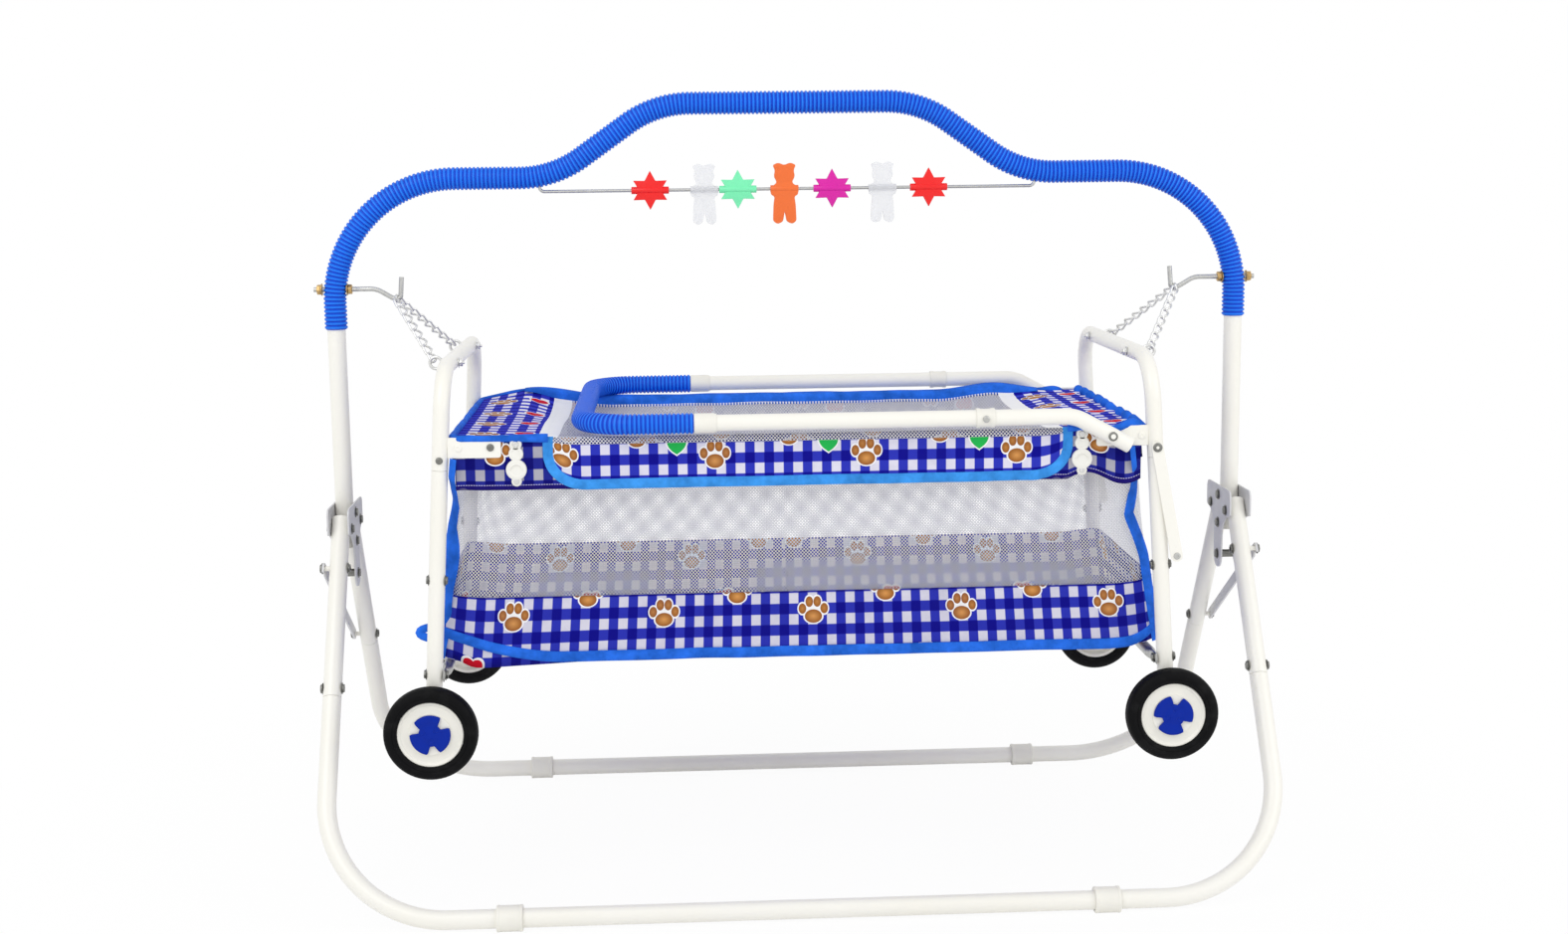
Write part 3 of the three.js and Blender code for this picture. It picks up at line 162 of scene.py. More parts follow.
class Colours(bpy.types.PropertyGroup):
    coat: colour("Powder coat", "Colour of the painted tube", 247, 246, 241)
    zinc: colour("Zinc", "Colour of the plated steel", 206, 206, 203)
    satin: colour("Satin zinc", "Colour of the hinge plates and locking stays", 222, 222, 224)
    bolt: colour("Bolt", "Colour of the bolts' heads", 138, 138, 134)
    brass: colour("Yellow zinc", "Colour of the hooks' nuts", 206, 172, 116)
    sleeve: colour("Sleeve", "Colour of the ribbed sleeves", 22, 124, 250)
    # The sleeve groove colour is a darker blue: painted shade in the sleeves' grooves
    groove: colour("Sleeve groove", "Colour in the sleeves' grooves", 2, 76, 214)
    tyre: colour("Tyre", "Colour of the tyres", 9, 9, 11)
    hub: colour("Hub", "Colour of the hubs", 247, 245, 236)
    cap: colour("Cap", "Colour of the wheels' caps", 3, 42, 162)
    clip: colour("Clip", "Colour of the net clips", 246, 245, 238)
    red: colour("Red toy", "Colour of the red stars", 250, 30, 30)
    mint: colour("Mint toy", "Colour of the mint star", 128, 246, 186)
    magenta: colour("Magenta toy", "Colour of the magenta star", 226, 24, 170)
    orange: colour("Orange toy", "Colour of the orange figure", 250, 118, 52)
    milk: colour("Milky toy", "Colour of the milky figures", 242, 243, 246)
    navy: colour("Gingham crossing", "Colour where both stripes cross", 10, 8, 142)
    stripe: colour("Gingham stripe", "Colour of a single stripe", 46, 54, 186)
    ground: colour("Gingham ground", "Colour of the open squares", 226, 224, 240)
    binding: colour("Binding", "Colour of the blue binding", 16, 108, 232)
    # The flap binding colour is a paler copy of the binding's blue, standing for painted light
    light_binding: colour("Flap binding", "Colour of the flap's binding", 52, 152, 248)
    bright: colour("Bright zinc", "Colour of the chains", 236, 236, 234)
    net: colour("Net", "Colour of the net", 224, 224, 232)
    tan: colour("Paw print", "Colour of the paw prints", 214, 152, 84)
    brown: colour("Paw print edge", "Colour of the paw prints' edges", 150, 88, 36)
    heart_red: colour("Red heart", "Colour of the red hearts", 216, 18, 42)
    heart_green: colour("Green heart", "Colour of the green hearts", 40, 186, 84)


class StageSettings(bpy.types.PropertyGroup):
    focal: FloatProperty(name="Focal length", description="Focal length in millimetres", default=46.02)
    pitch: angle("Pitch", "How far the camera looks down", 8.67)
    yaw: angle("Yaw", "How far the camera looks to the right", 3.06)
    roll: angle("Roll", "How far the camera leans", -0.67)
    camera_x: size("Camera X", "Camera's distance to the right", -0.1429)
    camera_y: size("Camera Y", "Camera's distance to the back", -2.4956)
    camera_z: size("Camera Z", "Camera's height", 0.8663)
    sky: FloatProperty(name="Sky", description="Strength of the light from all round", default=0.735)
    key: FloatProperty(name="Key", description="Power of the main lamp in watts", default=31)
    fill: FloatProperty(name="Fill", description="Power of the fill lamp in watts", default=15)


# Centre lines


class Course:
    """A centre line of straight runs joined by circular bends, in one plane."""

    def __init__(self, corners, bends, step=radians(4)):
        corners = [Vector(corner) for corner in corners]
        self.length = 0.0
        self.runs = []
        self.stops = [0.0]
        start = corners[0]
        for before, corner, after, bend in zip(corners, corners[1:], corners[2:], bends):
            heading = (corner - before).normalized()
            leaving = (after - corner).normalized()
            turn = heading.angle(leaving)
            setback = bend * tan(turn / 2)
            self.straight(start, corner - heading * setback)
            self.bend(corner - heading * setback, heading, leaving, bend, turn, step)
            start = corner + leaving * setback
        self.straight(start, corners[-1])

    def run(self, length, place, count):
        self.runs.append((self.length, place))
        self.stops += [self.length + length * (i + 1) / count for i in range(count)]
        self.length += length

    def straight(self, start, end):
        heading = (end - start).normalized()
        self.run((end - start).length, lambda along: (start + heading * along, heading), 1)

    def bend(self, start, heading, leaving, radius, turn, step):
        inward = (leaving - heading * leaving.dot(heading)).normalized()

        def place(along):
            way = along / radius
            point = start + heading * (radius * sin(way)) + inward * (radius * (1 - cos(way)))
            return point, heading * cos(way) + inward * sin(way)

        self.run(radius * turn, place, max(1, ceil(turn / step)))

    def place(self, along):
        run = next((run for run in reversed(self.runs) if run[0] <= along), self.runs[0])
        return run[1](along - run[0])


def ring(point, heading, normal, wide, deep=None):
    """The matrix of a ring of half widths wide and deep, square to the heading."""
    heading = heading.normalized()
    across = normal.cross(heading).normalized()
    up = heading.cross(across)
    return Matrix.Translation(point) @ Matrix(
        (
            (across.x * wide, up.x * (deep or wide), heading.x, 0),
            (across.y * wide, up.y * (deep or wide), heading.y, 0),
            (across.z * wide, up.z * (deep or wide), heading.z, 0),
            (0, 0, 0, 1),
        )
    )


def facing(point, direction, spin=0.0):
    """A place at a point with Z along a direction."""
    turn = Vector(direction).to_track_quat("Z", "Y").to_matrix().to_4x4()
    return Matrix.Translation(point) @ turn @ Matrix.Rotation(spin, 4, "Z")


# Shapes


@contextmanager
def part(solid, place=Matrix()):
    """A closed shape made by itself, then put in its place and added to the solid."""
    own = bmesh.new()
    yield own
    bmesh.ops.remove_doubles(own, verts=own.verts, dist=1e-6)
    bmesh.ops.recalc_face_normals(own, faces=own.faces)
    own.transform(place)
    mesh = bpy.data.meshes.new("part")
    own.to_mesh(mesh)
    own.free()
    solid.from_mesh(mesh)
    bpy.data.meshes.remove(mesh)


def draw_on(own, loop, rings, marks=()):
    """Extrudes a loop of edges from ring to ring, and gives back the last loop."""
    for i, (before, after) in enumerate(zip(rings, rings[1:])):
        made = bmesh.ops.extrude_edge_only(own, edges=loop)
        if i < len(marks):
            for item in made["geom"]:
                if isinstance(item, bmesh.types.BMFace):
                    item.material_index = marks[i]
        verts = {item for item in made["geom"] if isinstance(item, bmesh.types.BMVert)}
        edges = (item for item in made["geom"] if isinstance(item, bmesh.types.BMEdge))
        loop = [edge for edge in edges if verts.issuperset(edge.verts)]
        bmesh.ops.transform(own, matrix=after @ before.inverted(), verts=list(verts))
    return loop


def sweep(own, rings, sides=24, closed=False, marks=()):
    """Draws a circle through the rings, and caps it or closes it on itself."""
    made = bmesh.ops.create_circle(own, radius=1, segments=sides, matrix=rings[0])
    first = list({edge for vert in made["verts"] for edge in vert.link_edges})
    loop = draw_on(own, first, rings, marks)
    if closed:
        bmesh.ops.bridge_loops(own, edges=first + loop)
    else:
        bmesh.ops.edgeloop_fill(own, edges=first)
        bmesh.ops.edgeloop_fill(own, edges=loop)


def add_pipe(solid, course, normal, radius, bore=0.0, place=Matrix(), sides=24):
    """A tube along a course with open mouths, or a bar if it has no bore."""
    stops = [(stop, radius) for stop in course.stops]
    if bore:
        depth = min(0.03, course.length / 3)
        rim = (radius - bore) / 4
        stops = [(depth, bore), (0, bore), (0, radius - rim), (rim, radius), *stops[1:-1]]
        stops += [(course.length - rim, radius), (course.length, radius - rim)]
        stops += [(course.length, bore), (course.length - depth, bore)]
    with part(solid, place) as own:
        sweep(own, [ring(*course.place(along), normal, wide) for along, wide in stops], sides)


def add_bar(solid, start, stop, radius, normal=Z, sides=14, place=Matrix()):
    """A straight round bar from one point to another."""
    add_pipe(solid, Course([start, stop], []), normal, radius, place=place, sides=sides)


def add_spigot(solid, sizes, x, y, top, normal, place):
    """The inner tube that joins two tubes end to end."""
    line = Course([(x, y, top + SPIGOT_HALF), (x, y, top - SPIGOT_HALF)], [])
    add_pipe(solid, line, normal, sizes.bore - JOINT_GAP, sizes.bore - 0.0016, place)


def add_sleeve(solid, course, normal, start, end, sizes, scale=1.0):
    """A corrugated sleeve over part of a course."""
    ribs = round((end - start) / sizes.rib_pitch)
    pitch = (end - start) / ribs
    crest, valley = sizes.rib_crest * scale, sizes.rib_valley * scale
    bore = sizes.tube * scale + 0.0004
    stops = [(start, bore), (start, valley)]
    marks = [1, 1]
    for i in range(ribs):
        # Faces marked 1 get the groove finish, whose darker blue is painted shade
        for share, wide, mark in ((0.14, valley, 1), (0.30, crest, 0), (0.70, crest, 0), (0.86, valley, 1)):
            stops.append((start + (i + share) * pitch, wide))
            marks.append(mark)
    stops += [(end, valley), (end, bore)]
    with part(solid) as own:
        sweep(own, [ring(*course.place(along), normal, wide) for along, wide in stops], 20, marks=marks)


def add_lathe(solid, profile, place, steps=40, closed=False):
    """A profile of radii and heights turned round the place's Z axis."""
    with part(solid, place) as own:
        verts = [own.verts.new((radius, 0, height)) for radius, height in profile]
        pairs = list(zip(verts, verts[1:]))
        if closed:
            pairs.append((verts[-1], verts[0]))
        edges = [own.edges.new(pair) for pair in pairs]
        bmesh.ops.spin(own, geom=verts + edges, axis=Z, angle=tau, steps=steps, use_merge=True)


def add_washer(solid, radius, thickness, place, steps=24):
    add_lathe(solid, [(0, 0), (radius, 0), (radius, thickness), (0, thickness)], place, steps)


def add_prism(solid, sides, radius, height, place, bevel=0.0005):
    """A prism with softened edges that stands on the place's origin."""
    with part(solid, place) as own:
        middle = Matrix.Translation((0, 0, height / 2))
        bmesh.ops.create_cone(
            own, cap_ends=True, segments=sides, radius1=radius, radius2=radius, depth=height, matrix=middle
        )
        soften(own, own.edges, bevel)


def soften(own, edges, offset, segments=2):
    bmesh.ops.bevel(
        own, geom=list(edges), offset=offset, segments=segments, profile=0.5, affect="EDGES", material=-1,
        clamp_overlap=True,
    )


def add_dome(solid, point, direction, radius=0.0045, height=0.0022):
    """A pan head with a dished middle."""
    profile = [
        (0, 0), (radius, 0), (radius, height * 0.35), (radius * 0.9, height * 0.75), (radius * 0.6, height),
        (radius * 0.4, height * 0.96), (radius * 0.34, height * 0.6), (0, height * 0.55),
    ]
    add_lathe(solid, profile, facing(point, direction), 20)


def add_bolt(solid, point, direction, radius=0.0055, height=0.003):
    """A six-sided head on its washer."""
    washer = 0.0007
    add_washer(solid, radius * 1.25, washer, facing(point, direction))
    seat = Vector(point) + Vector(direction) * washer
    add_prism(solid, 6, radius, height - washer, facing(seat, direction, 0.4))


def add_plate(solid, outline, thickness, place, bevel=0.0005):
    """A flat plate from corners of (x, y, round), from z = 0 to its thickness."""
    with part(solid, place) as own:
        verts = [own.verts.new((x, y, 0)) for x, y, _ in outline]
        own.faces.new(verts)
        for vert, (_, _, round_off) in zip(verts, outline):
            if round_off:
                bmesh.ops.bevel(
                    own, geom=[vert], offset=round_off, segments=5, profile=0.5, affect="VERTICES",
                    material=-1,
                )
        made = bmesh.ops.extrude_face_region(own, geom=own.faces[:])
        top = [item for item in made["geom"] if isinstance(item, bmesh.types.BMVert)]
        bmesh.ops.translate(own, verts=top, vec=(0, 0, thickness))
        soften(own, own.edges, bevel, 1)


def add_ring(solid, radius, wire, place, sides=12, steps=28):
    """A round ring of wire in the place's XY plane."""
    rings = []
    for i in range(steps):
        way = tau * i / steps
        outward, heading = Vector((cos(way), sin(way), 0)), Vector((-sin(way), cos(way), 0))
        rings.append(ring(outward * radius, heading, Z, wire))
    with part(solid, place) as own:
        sweep(own, rings, sides, closed=True)


# Finished pieces


def finish_piece(name, solid, body, finishes, stands_for=(), slot=None, sharp=35):
    """Makes the object of a solid, gives it its finish, and lets it ride on its body."""
    mesh = bpy.data.meshes.new(name)
    solid.to_mesh(mesh)
    solid.free()
    mesh.shade_smooth()
    mesh.set_sharp_from_angle(angle=radians(sharp))
    for finish in finishes if isinstance(finishes, (list, tuple)) else [finishes]:
        mesh.materials.append(finish)
    piece = bpy.data.objects.new(name, mesh)
    bpy.context.collection.objects.link(piece)
    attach(piece, body)
    if stands_for:
        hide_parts(*stands_for)
    return piece


def drape(name, across, down, place, cut, body, finishes, material_of=None, closed=False, **rest):
    """A sheet: a grid whose corners run from 0 to 1, laid by place(u, v), with its map in metres."""
    solid = bmesh.new()
    bmesh.ops.create_grid(solid, x_segments=across, y_segments=down, size=0.5)
    layer = solid.loops.layers.uv.new("cut")
    shares = {vert: (vert.co.x + 0.5, vert.co.y + 0.5) for vert in solid.verts}
    for face in solid.faces:
        for loop in face.loops:
            u, v = shares[loop.vert]
            loop[layer].uv = (u * cut[0], v * cut[1])
        if material_of:
            middle = face.calc_center_median()
            face.material_index = material_of(middle.x + 0.5, middle.y + 0.5)
    for vert, (u, v) in shares.items():
        vert.co = place(u, v)
    if closed:
        bmesh.ops.remove_doubles(solid, verts=solid.verts, dist=1e-5)
    return finish_piece(name, solid, body, finishes, sharp=60, **rest)


def thicken(piece, thickness, offset=1.0):
    wall = piece.modifiers.new("cloth", "SOLIDIFY")
    wall.thickness = thickness
    wall.offset = offset


def ruffle(point, scale, seed=0.0):
    """A smooth random amount from -1 to 1 at a point."""
    return noise.noise(Vector(point) * scale + Vector((seed, seed * 1.7, -seed)))


def clamped(share):
    return max(0.0, min(1.0, share))


def eased(share):
    """Zero up to 0 and one from 1, with a smooth way between."""
    share = clamped(share)
    return share * share * (3 - 2 * share)


def headed(points):
    """Each point with its heading, from the point before it to the one after it."""
    last = len(points) - 1
    for i, point in enumerate(points):
        yield point, points[min(last, i + 1)] - points[max(0, i - 1)]


# Finishes


class Socket:
    """A shader socket that takes part in sums."""

    def __init__(self, shader, link):
        self.shader = shader
        self.link = link

    def sum(self, operation, *others, before=False):
        operands = [*others, self] if before else [self, *others]
        node = self.shader.node("ShaderNodeMath", {"operation": operation}, dict(enumerate(operands)))
        return Socket(self.shader, node.outputs[0])

    def __add__(self, other):
        return self.sum("ADD", other)

    __radd__ = __add__

    def __sub__(self, other):
        return self.sum("SUBTRACT", other)

    def __rsub__(self, other):
        return self.sum("SUBTRACT", other, before=True)

    def __mul__(self, other):
        return self.sum("MULTIPLY", other)

    __rmul__ = __mul__

    def __truediv__(self, other):
        return self.sum("DIVIDE", other)

    def __lt__(self, other):
        return self.sum("LESS_THAN", other)

    def __gt__(self, other):
        return self.sum("GREATER_THAN", other)

    def fraction(self):
        return self.sum("FRACT")

    def sine(self):
        return self.sum("SINE")

    def lowest(self, other):
        return self.sum("MINIMUM", other)

    def highest(self, other):
        return self.sum("MAXIMUM", other)

    def within(self):
        return self.lowest(1.0).highest(0.0)


class Finish:
    """The nodes of a material, or of the world, built socket by socket."""

    def __init__(self, owner):
        self.owner = owner
        owner.use_nodes = True
        self.tree = owner.node_tree
        self.shader = self.tree.nodes.get("Principled BSDF")

    def node(self, kind, settings=None, inputs=None):
        made = self.tree.nodes.new(kind)
        for key, value in (settings or {}).items():
            if key == "stops":
                self.set_stops(made.color_ramp, value)
            else:
                setattr(made, key, value)
        for key, value in (inputs or {}).items():
            self.join(made.inputs[key], value)
        return made

    def set_stops(self, ramp, stops):
        while len(ramp.elements) < len(stops):
            ramp.elements.new(1)
        for element, (position, value) in zip(ramp.elements, stops):
            element.position = position
            element.color = (*value, 1) if hasattr(value, "__len__") else (value, value, value, 1)

    def join(self, target, value):
        if isinstance(value, Socket):
            self.tree.links.new(value.link, target)
        elif hasattr(value, "__len__") and len(value) == 3 and target.type == "RGBA":
            target.default_value = (*value, 1)
        else:
            target.default_value = value

    def out(self, node, output=0):
        return Socket(self, node.outputs[output])

    def set(self, **values):
        for key, value in values.items():
            self.join(self.shader.inputs[key.replace("_", " ").title()], value)
        return self

    def shine(self, level):
        self.shader.inputs["Specular IOR Level"].default_value = level

    def place(self):
        return self.out(self.node("ShaderNodeTexCoord"), "Object")

    def cut(self):
        return self.out(self.node("ShaderNodeUVMap", {"uv_map": "cut"}))

    def split(self, vector):
        node = self.node("ShaderNodeSeparateXYZ", None, {0: vector})
        return self.out(node, 0), self.out(node, 1), self.out(node, 2)

    def cloud(self, vector, scale, detail=3.0, roughness=0.5):
        inputs = {"Vector": vector, "Scale": scale, "Detail": detail, "Roughness": roughness}
        return self.out(self.node("ShaderNodeTexNoise", None, inputs), 0)

    def cells(self, vector, scale):
        return self.out(self.node("ShaderNodeTexVoronoi", None, {"Vector": vector, "Scale": scale}), "Color")

    def mix(self, share, first, second):
        node = self.node("ShaderNodeMix", {"data_type": "RGBA"}, {0: share, 6: first, 7: second})
        return self.out(node, 2)

    def vector(self, operation, first, second):
        node = self.node("ShaderNodeVectorMath", {"operation": operation}, {0: first, 1: second})
        return self.out(node)

    def length(self, vector):
        return self.out(self.node("ShaderNodeVectorMath", {"operation": "LENGTH"}, {0: vector}), "Value")

    def bump(self, height, distance, strength=1.0):
        inputs = {"Height": height, "Distance": distance, "Strength": strength}
        self.join(self.shader.inputs["Normal"], self.out(self.node("ShaderNodeBump", None, inputs)))


def made_once(dress):
    """Makes a finish when it's first asked for, and keeps it, so that pieces share it."""

    def fetch(*args, **options):
        extras = [f"{key}_{value}" for key, value in options.items()]
        name = "_".join([dress.__name__, *map(str, args), *extras])
        if name not in bpy.data.materials:
            dress(Finish(bpy.data.materials.new(name)), *args, **options)
        return bpy.data.materials[name]

    return fetch


def dye(name):
    return tuple(getattr(bpy.context.scene.cradle_colours, name))


def dimmed(tone, share):
    return tuple(share * channel for channel in tone)


@made_once
def powder_coat(finish):
    """White powder coat: a faint orange peel, a warmer tone in broad patches and small scuffs."""
    place = finish.place()
    broad = finish.cloud(place, 9.0)
    peel = finish.cloud(place, 420.0, 2.0)
    scuffs = (finish.cloud(place, 70.0, 5.0, 0.7) - 0.66) * 6.0
    white = dye("coat")
    warm = (white[0] * 0.97, white[1] * 0.955, white[2] * 0.90)
    tone = finish.mix(broad, white, warm)
    tone = finish.mix(scuffs.within() * 0.35, tone, (0.62, 0.60, 0.56))
    finish.set(base_color=tone, roughness=0.26 + broad * 0.14 + scuffs.within() * 0.2)
    finish.bump(peel, 0.00025, 0.5)


@made_once
def plated_steel(finish, tone="zinc"):
    """Bright zinc plating: fine spangle and dull patches."""
    place = finish.place()
    dull = finish.cloud(place, 60.0, 4.0)
    spangle = finish.split(finish.cells(place, 380.0))[0]
    base = dye(tone)
    tone = finish.mix(dull * 0.5 + spangle * 0.25, base, dimmed(base, 0.62))
    finish.set(base_color=tone, metallic=1.0)
    finish.set(roughness=0.24 + dull * 0.28 + spangle * 0.06)
    finish.bump(spangle, 0.0001, 0.4)


@made_once
def satin_zinc(finish):
    """Dull zinc plate: pale, clouded and finely brushed."""
    place = finish.place()
    dull = finish.cloud(place, 34.0, 4.0, 0.6)
    fine = finish.cloud(place, 420.0, 2.0)
    base = dye("satin")
    finish.set(base_color=finish.mix(dull, base, dimmed(base, 0.84)), metallic=0.12)
    finish.set(roughness=0.42 + dull * 0.2)
    finish.bump(fine, 0.0001, 0.4)


@made_once
def ribbed_rubber(finish, tone="sleeve"):
    """Blue corrugated tube: satin, a darker blue in its grooves as painted shade, and paler where it's
    rubbed.
    """
    place = finish.place()
    broad = finish.cloud(place, 16.0, 4.0)
    fine = finish.cloud(place, 260.0, 3.0)
    blue = dye(tone)
    tone = finish.mix(broad, dimmed(blue, 0.84), blue)
    rubbed = ((fine - 0.62) * 2.0).within()
    tone = finish.mix(rubbed * 0.3, tone, (0.12, 0.42, 1.0))
    finish.set(base_color=tone, roughness=0.40 + broad * 0.16)
    finish.shine(0.32)
    finish.bump(fine, 0.0002, 0.4)


def ribbed_finishes():
    """The sleeves' finishes: on the ribs, then in the grooves, where a darker blue paints their shade."""
    return [ribbed_rubber("sleeve"), ribbed_rubber("groove")]


@made_once
def tyre_rubber(finish):
    """Black rubber with dust in its grain."""
    place = finish.place()
    dust = finish.cloud(place, 45.0, 5.0, 0.6)
    grain = finish.cloud(place, 600.0, 2.0)
    tone = finish.mix(((dust - 0.5) * 0.5).within(), dye("tyre"), (0.07, 0.07, 0.07))
    finish.set(base_color=tone, roughness=0.46 + dust * 0.25)
    finish.shine(0.1)
    finish.bump(grain, 0.0003, 0.5)


@made_once
def moulded(finish, tone, gloss=0.28, shine=0.4):
    """Moulded plastic: a soft flow pattern and fine scratches."""
    place = finish.place()
    flow = finish.cloud(place, 24.0, 3.0)
    grain = finish.cloud(place, 500.0, 2.0)
    base = dye(tone)
    finish.set(base_color=finish.mix(flow, dimmed(base, 0.86), base))
    finish.set(roughness=gloss + flow * 0.12 + (grain - 0.5) * 0.1)
    finish.shine(shine)
    finish.bump(grain, 0.0001, 0.35)


@made_once
def milky(finish):
    """Milky plastic that lets light through."""
    flow = finish.cloud(finish.place(), 40.0, 3.0)
    base = dye("milk")
    finish.set(base_color=finish.mix(flow, base, dimmed(base, 0.93)))
    finish.set(roughness=0.22 + flow * 0.2, alpha=0.38 + flow * 0.2)


# The print: where the paw prints and hearts sit in one repeat, and their sizes
PRINT_REPEAT = (0.176, 0.094, 10)
PAWS = ((0.046, 0.056), (0.136, 0.030))
PAW_SIZE = 0.0195
HEARTS = {"red": (0.092, 0.068), "green": (0.092, 0.042)}
HEART_SIZE, HEART_EDGE = 0.0098, 0.0118
PRINT_WHITE = (0.93, 0.92, 0.93)
# A paw print's pads in shares of its size: middle, then half width and half height
PADS = (
    ((0.0, -0.30), (0.52, 0.42)), ((-0.66, 0.18), (0.23, 0.32)), ((-0.24, 0.60), (0.23, 0.33)),
    ((0.24, 0.60), (0.23, 0.33)), ((0.66, 0.18), (0.23, 0.32)),
)
THREAD = 0.0009


def check_mask(along, pitch, share=0.54):
    """One where a stripe runs, with soft edges of a thread's width."""
    wave = (along / pitch).fraction()
    rising = (wave * 30.0).within()
    falling = ((share - wave) * 30.0).within()
    return rising * falling


def paw_distance(finish, cell, middle):
    """How far a point is outside a paw print, in paw print sizes."""
    nearest = None
    for (x, y), (wide, tall) in PADS:
        pad = (middle[0] + x * PAW_SIZE, middle[1] + y * PAW_SIZE, 0)
        offset = finish.vector("SUBTRACT", cell, pad)
        reach = finish.length(finish.vector("DIVIDE", offset, (wide * PAW_SIZE, tall * PAW_SIZE, 1)))
        distance = (reach - 1.0) * min(wide, tall)
        nearest = distance if nearest is None else nearest.lowest(distance)
    return nearest


def heart_mask(finish, cell, middle, scale):
    """One inside a heart."""
    offset = finish.vector("SUBTRACT", cell, (middle[0], middle[1], 0))
    x, y, _ = finish.split(finish.vector("DIVIDE", offset, (scale, scale, 1)))
    outside = x * x + y * y - 1.0
    return outside * outside * outside - x * x * y * y * y < 0.0


@made_once
def gingham(finish, shift_u=0.0, shift_v=0.0, hearts="red", hem=0.0, pull=1.0, depth=1.0):
    """Blue and white gingham with paw prints and hearts, woven, creased and pulled in height. Depth scales
    its dyes: below 1 it paints shade, above 1 it paints light, and darker creases paint shade too.
    """
    cut = finish.vector("ADD", finish.cut(), (1.0 + shift_u, 1.0 + shift_v, 0))
    along, up, _ = finish.split(cut)
    pitch = bpy.context.scene.cradle_cloth.check
    first = check_mask(along, pitch)
    second = check_mask(up, pitch * pull)
    # depth scales the three dyes: below 1 it paints shade, above 1 it paints light
    painted_light_dyes = (dimmed(dye(name), depth) for name in ("ground", "stripe", "navy"))
    ground, stripe, navy = (tuple(min(1, channel) for channel in tone) for tone in painted_light_dyes)
    tone = finish.mix(first.highest(second), ground, stripe)
    tone = finish.mix(first * second, tone, navy)
    wrapped = finish.vector("MODULO", cut, PRINT_REPEAT)
    for middle in PAWS:
        distance = paw_distance(finish, wrapped, middle)
        offset = finish.vector("SUBTRACT", wrapped, (middle[0], middle[1] + 0.14 * PAW_SIZE, 0))
        tone = finish.mix(finish.length(offset) < 0.5 * PAW_SIZE, tone, PRINT_WHITE)
        tone = finish.mix(distance < 0.075, tone, PRINT_WHITE)
        inside = finish.mix((distance * -2.6).within(), dye("brown"), dye("tan"))
        tone = finish.mix(distance < 0.0, tone, inside)
    tone = finish.mix(heart_mask(finish, wrapped, HEARTS[hearts], HEART_EDGE), tone, PRINT_WHITE)
    tone = finish.mix(heart_mask(finish, wrapped, HEARTS[hearts], HEART_SIZE), tone, dye(f"heart_{hearts}"))
    if hem:
        height = finish.split(finish.cut())[1]
        tone = finish.mix((height < hem) * 0.92, tone, (0.010, 0.004, 0.14))
        stitch = (height > hem) * (height < hem + THREAD) * ((along / 0.0030).fraction() < 0.7)
        tone = finish.mix(stitch * 0.75, tone, (0.62, 0.60, 0.80))
    threads = (along * (tau / THREAD)).sine() * 0.5 + (up * (tau / THREAD)).sine() * 0.5
    creases_and_shade = finish.cloud(finish.place(), 26.0, 4.0, 0.6)
    # Darker navy where the crease noise is high: painted shade in the creases
    tone = finish.mix((creases_and_shade - 0.45) * 0.5, tone, (0.02, 0.02, 0.16))
    finish.set(base_color=tone, roughness=0.78 + creases_and_shade * 0.15)
    finish.shine(0.12)
    finish.bump(threads * 0.12 + creases_and_shade * 3.0, 0.0016, 0.55)


@made_once
def binding_tape(finish, tone="binding"):
    """Folded cotton tape."""
    place = finish.place()
    soft = ((finish.cloud(place, 48.0, 4.0, 0.6) - 0.5) * 2.0 + 0.5).within()
    fine = finish.cloud(place, 700.0, 2.0)
    base = dye(tone)
    # Random darker and paler patches of the blue paint the shade in the tape's folds and highlights on it
    pale = tuple(min(1, 1.15 * channel + 0.02) for channel in base)
    finish.set(base_color=finish.mix(soft, dimmed(base, 0.55), pale), roughness=0.72 + soft * 0.2)
    finish.shine(0.2)
    finish.bump(fine * 0.2 + soft * 1.6, 0.0014, 0.6)


@made_once
def white_tape(finish):
    """White twill tape."""
    along, up, _ = finish.split(finish.cut())
    ribs = ((along + up) * (tau / 0.0013)).sine()
    soft = finish.cloud(finish.place(), 40.0, 3.0)
    finish.set(base_color=finish.mix(soft, (0.97, 0.97, 0.98), (1.0, 1.0, 1.0)))
    finish.set(roughness=0.8 + soft * 0.1)
    finish.bump(ribs * 0.2 + soft, 0.001, 0.5)


@made_once
def mosquito_net(finish, openness=0.262):
    """White net: round holes in staggered rows."""
    pitch = bpy.context.scene.cradle_cloth.net
    cut = finish.vector("ADD", finish.cut(), (1.0, 1.0, 0))
    cell = (pitch, pitch * 1.07, 10.0)
    middle = (cell[0] / 2, cell[1] / 2, 0)
    nearest = None
    for shift in ((0, 0, 0), middle):
        wrapped = finish.vector("MODULO", finish.vector("ADD", cut, shift), cell)
        offset = finish.vector("MULTIPLY", finish.vector("SUBTRACT", wrapped, middle), (1, 1, 0))
        distance = finish.length(offset)
        nearest = distance if nearest is None else nearest.lowest(distance)
    thread = ((nearest - openness * pitch) / (0.09 * pitch)).within()
    soft = finish.cloud(finish.place(), 30.0, 3.0)
    white = dye("net")
    finish.set(base_color=finish.mix(soft, white, dimmed(white, 0.9)), roughness=0.7 + soft * 0.2)
    finish.set(alpha=thread)


# Stand


class CRADLE_OT_arch(bpy.types.Operator):
    """Bends the arch's tube and pulls the ribbed sleeve over it"""

    bl_idname = "cradle.arch"
    bl_label = "Arch"

    def execute(self, context):
        sizes = context.scene.cradle_stand
        course = arch_course(sizes)
        solid = bmesh.new()
        add_pipe(solid, course, Y, sizes.tube, sizes.bore)
        finish_piece("arch_pipe", solid, "stand", powder_coat(), ["arch_tube"])
        solid = bmesh.new()
        start = sizes.sleeve_start - sizes.foot_height
        add_sleeve(solid, course, Y, start, course.length - start, sizes)
        finish_piece("arch_ribbed_sleeve", solid, "stand", ribbed_finishes(), ["arch_sleeve"])
        return {"FINISHED"}


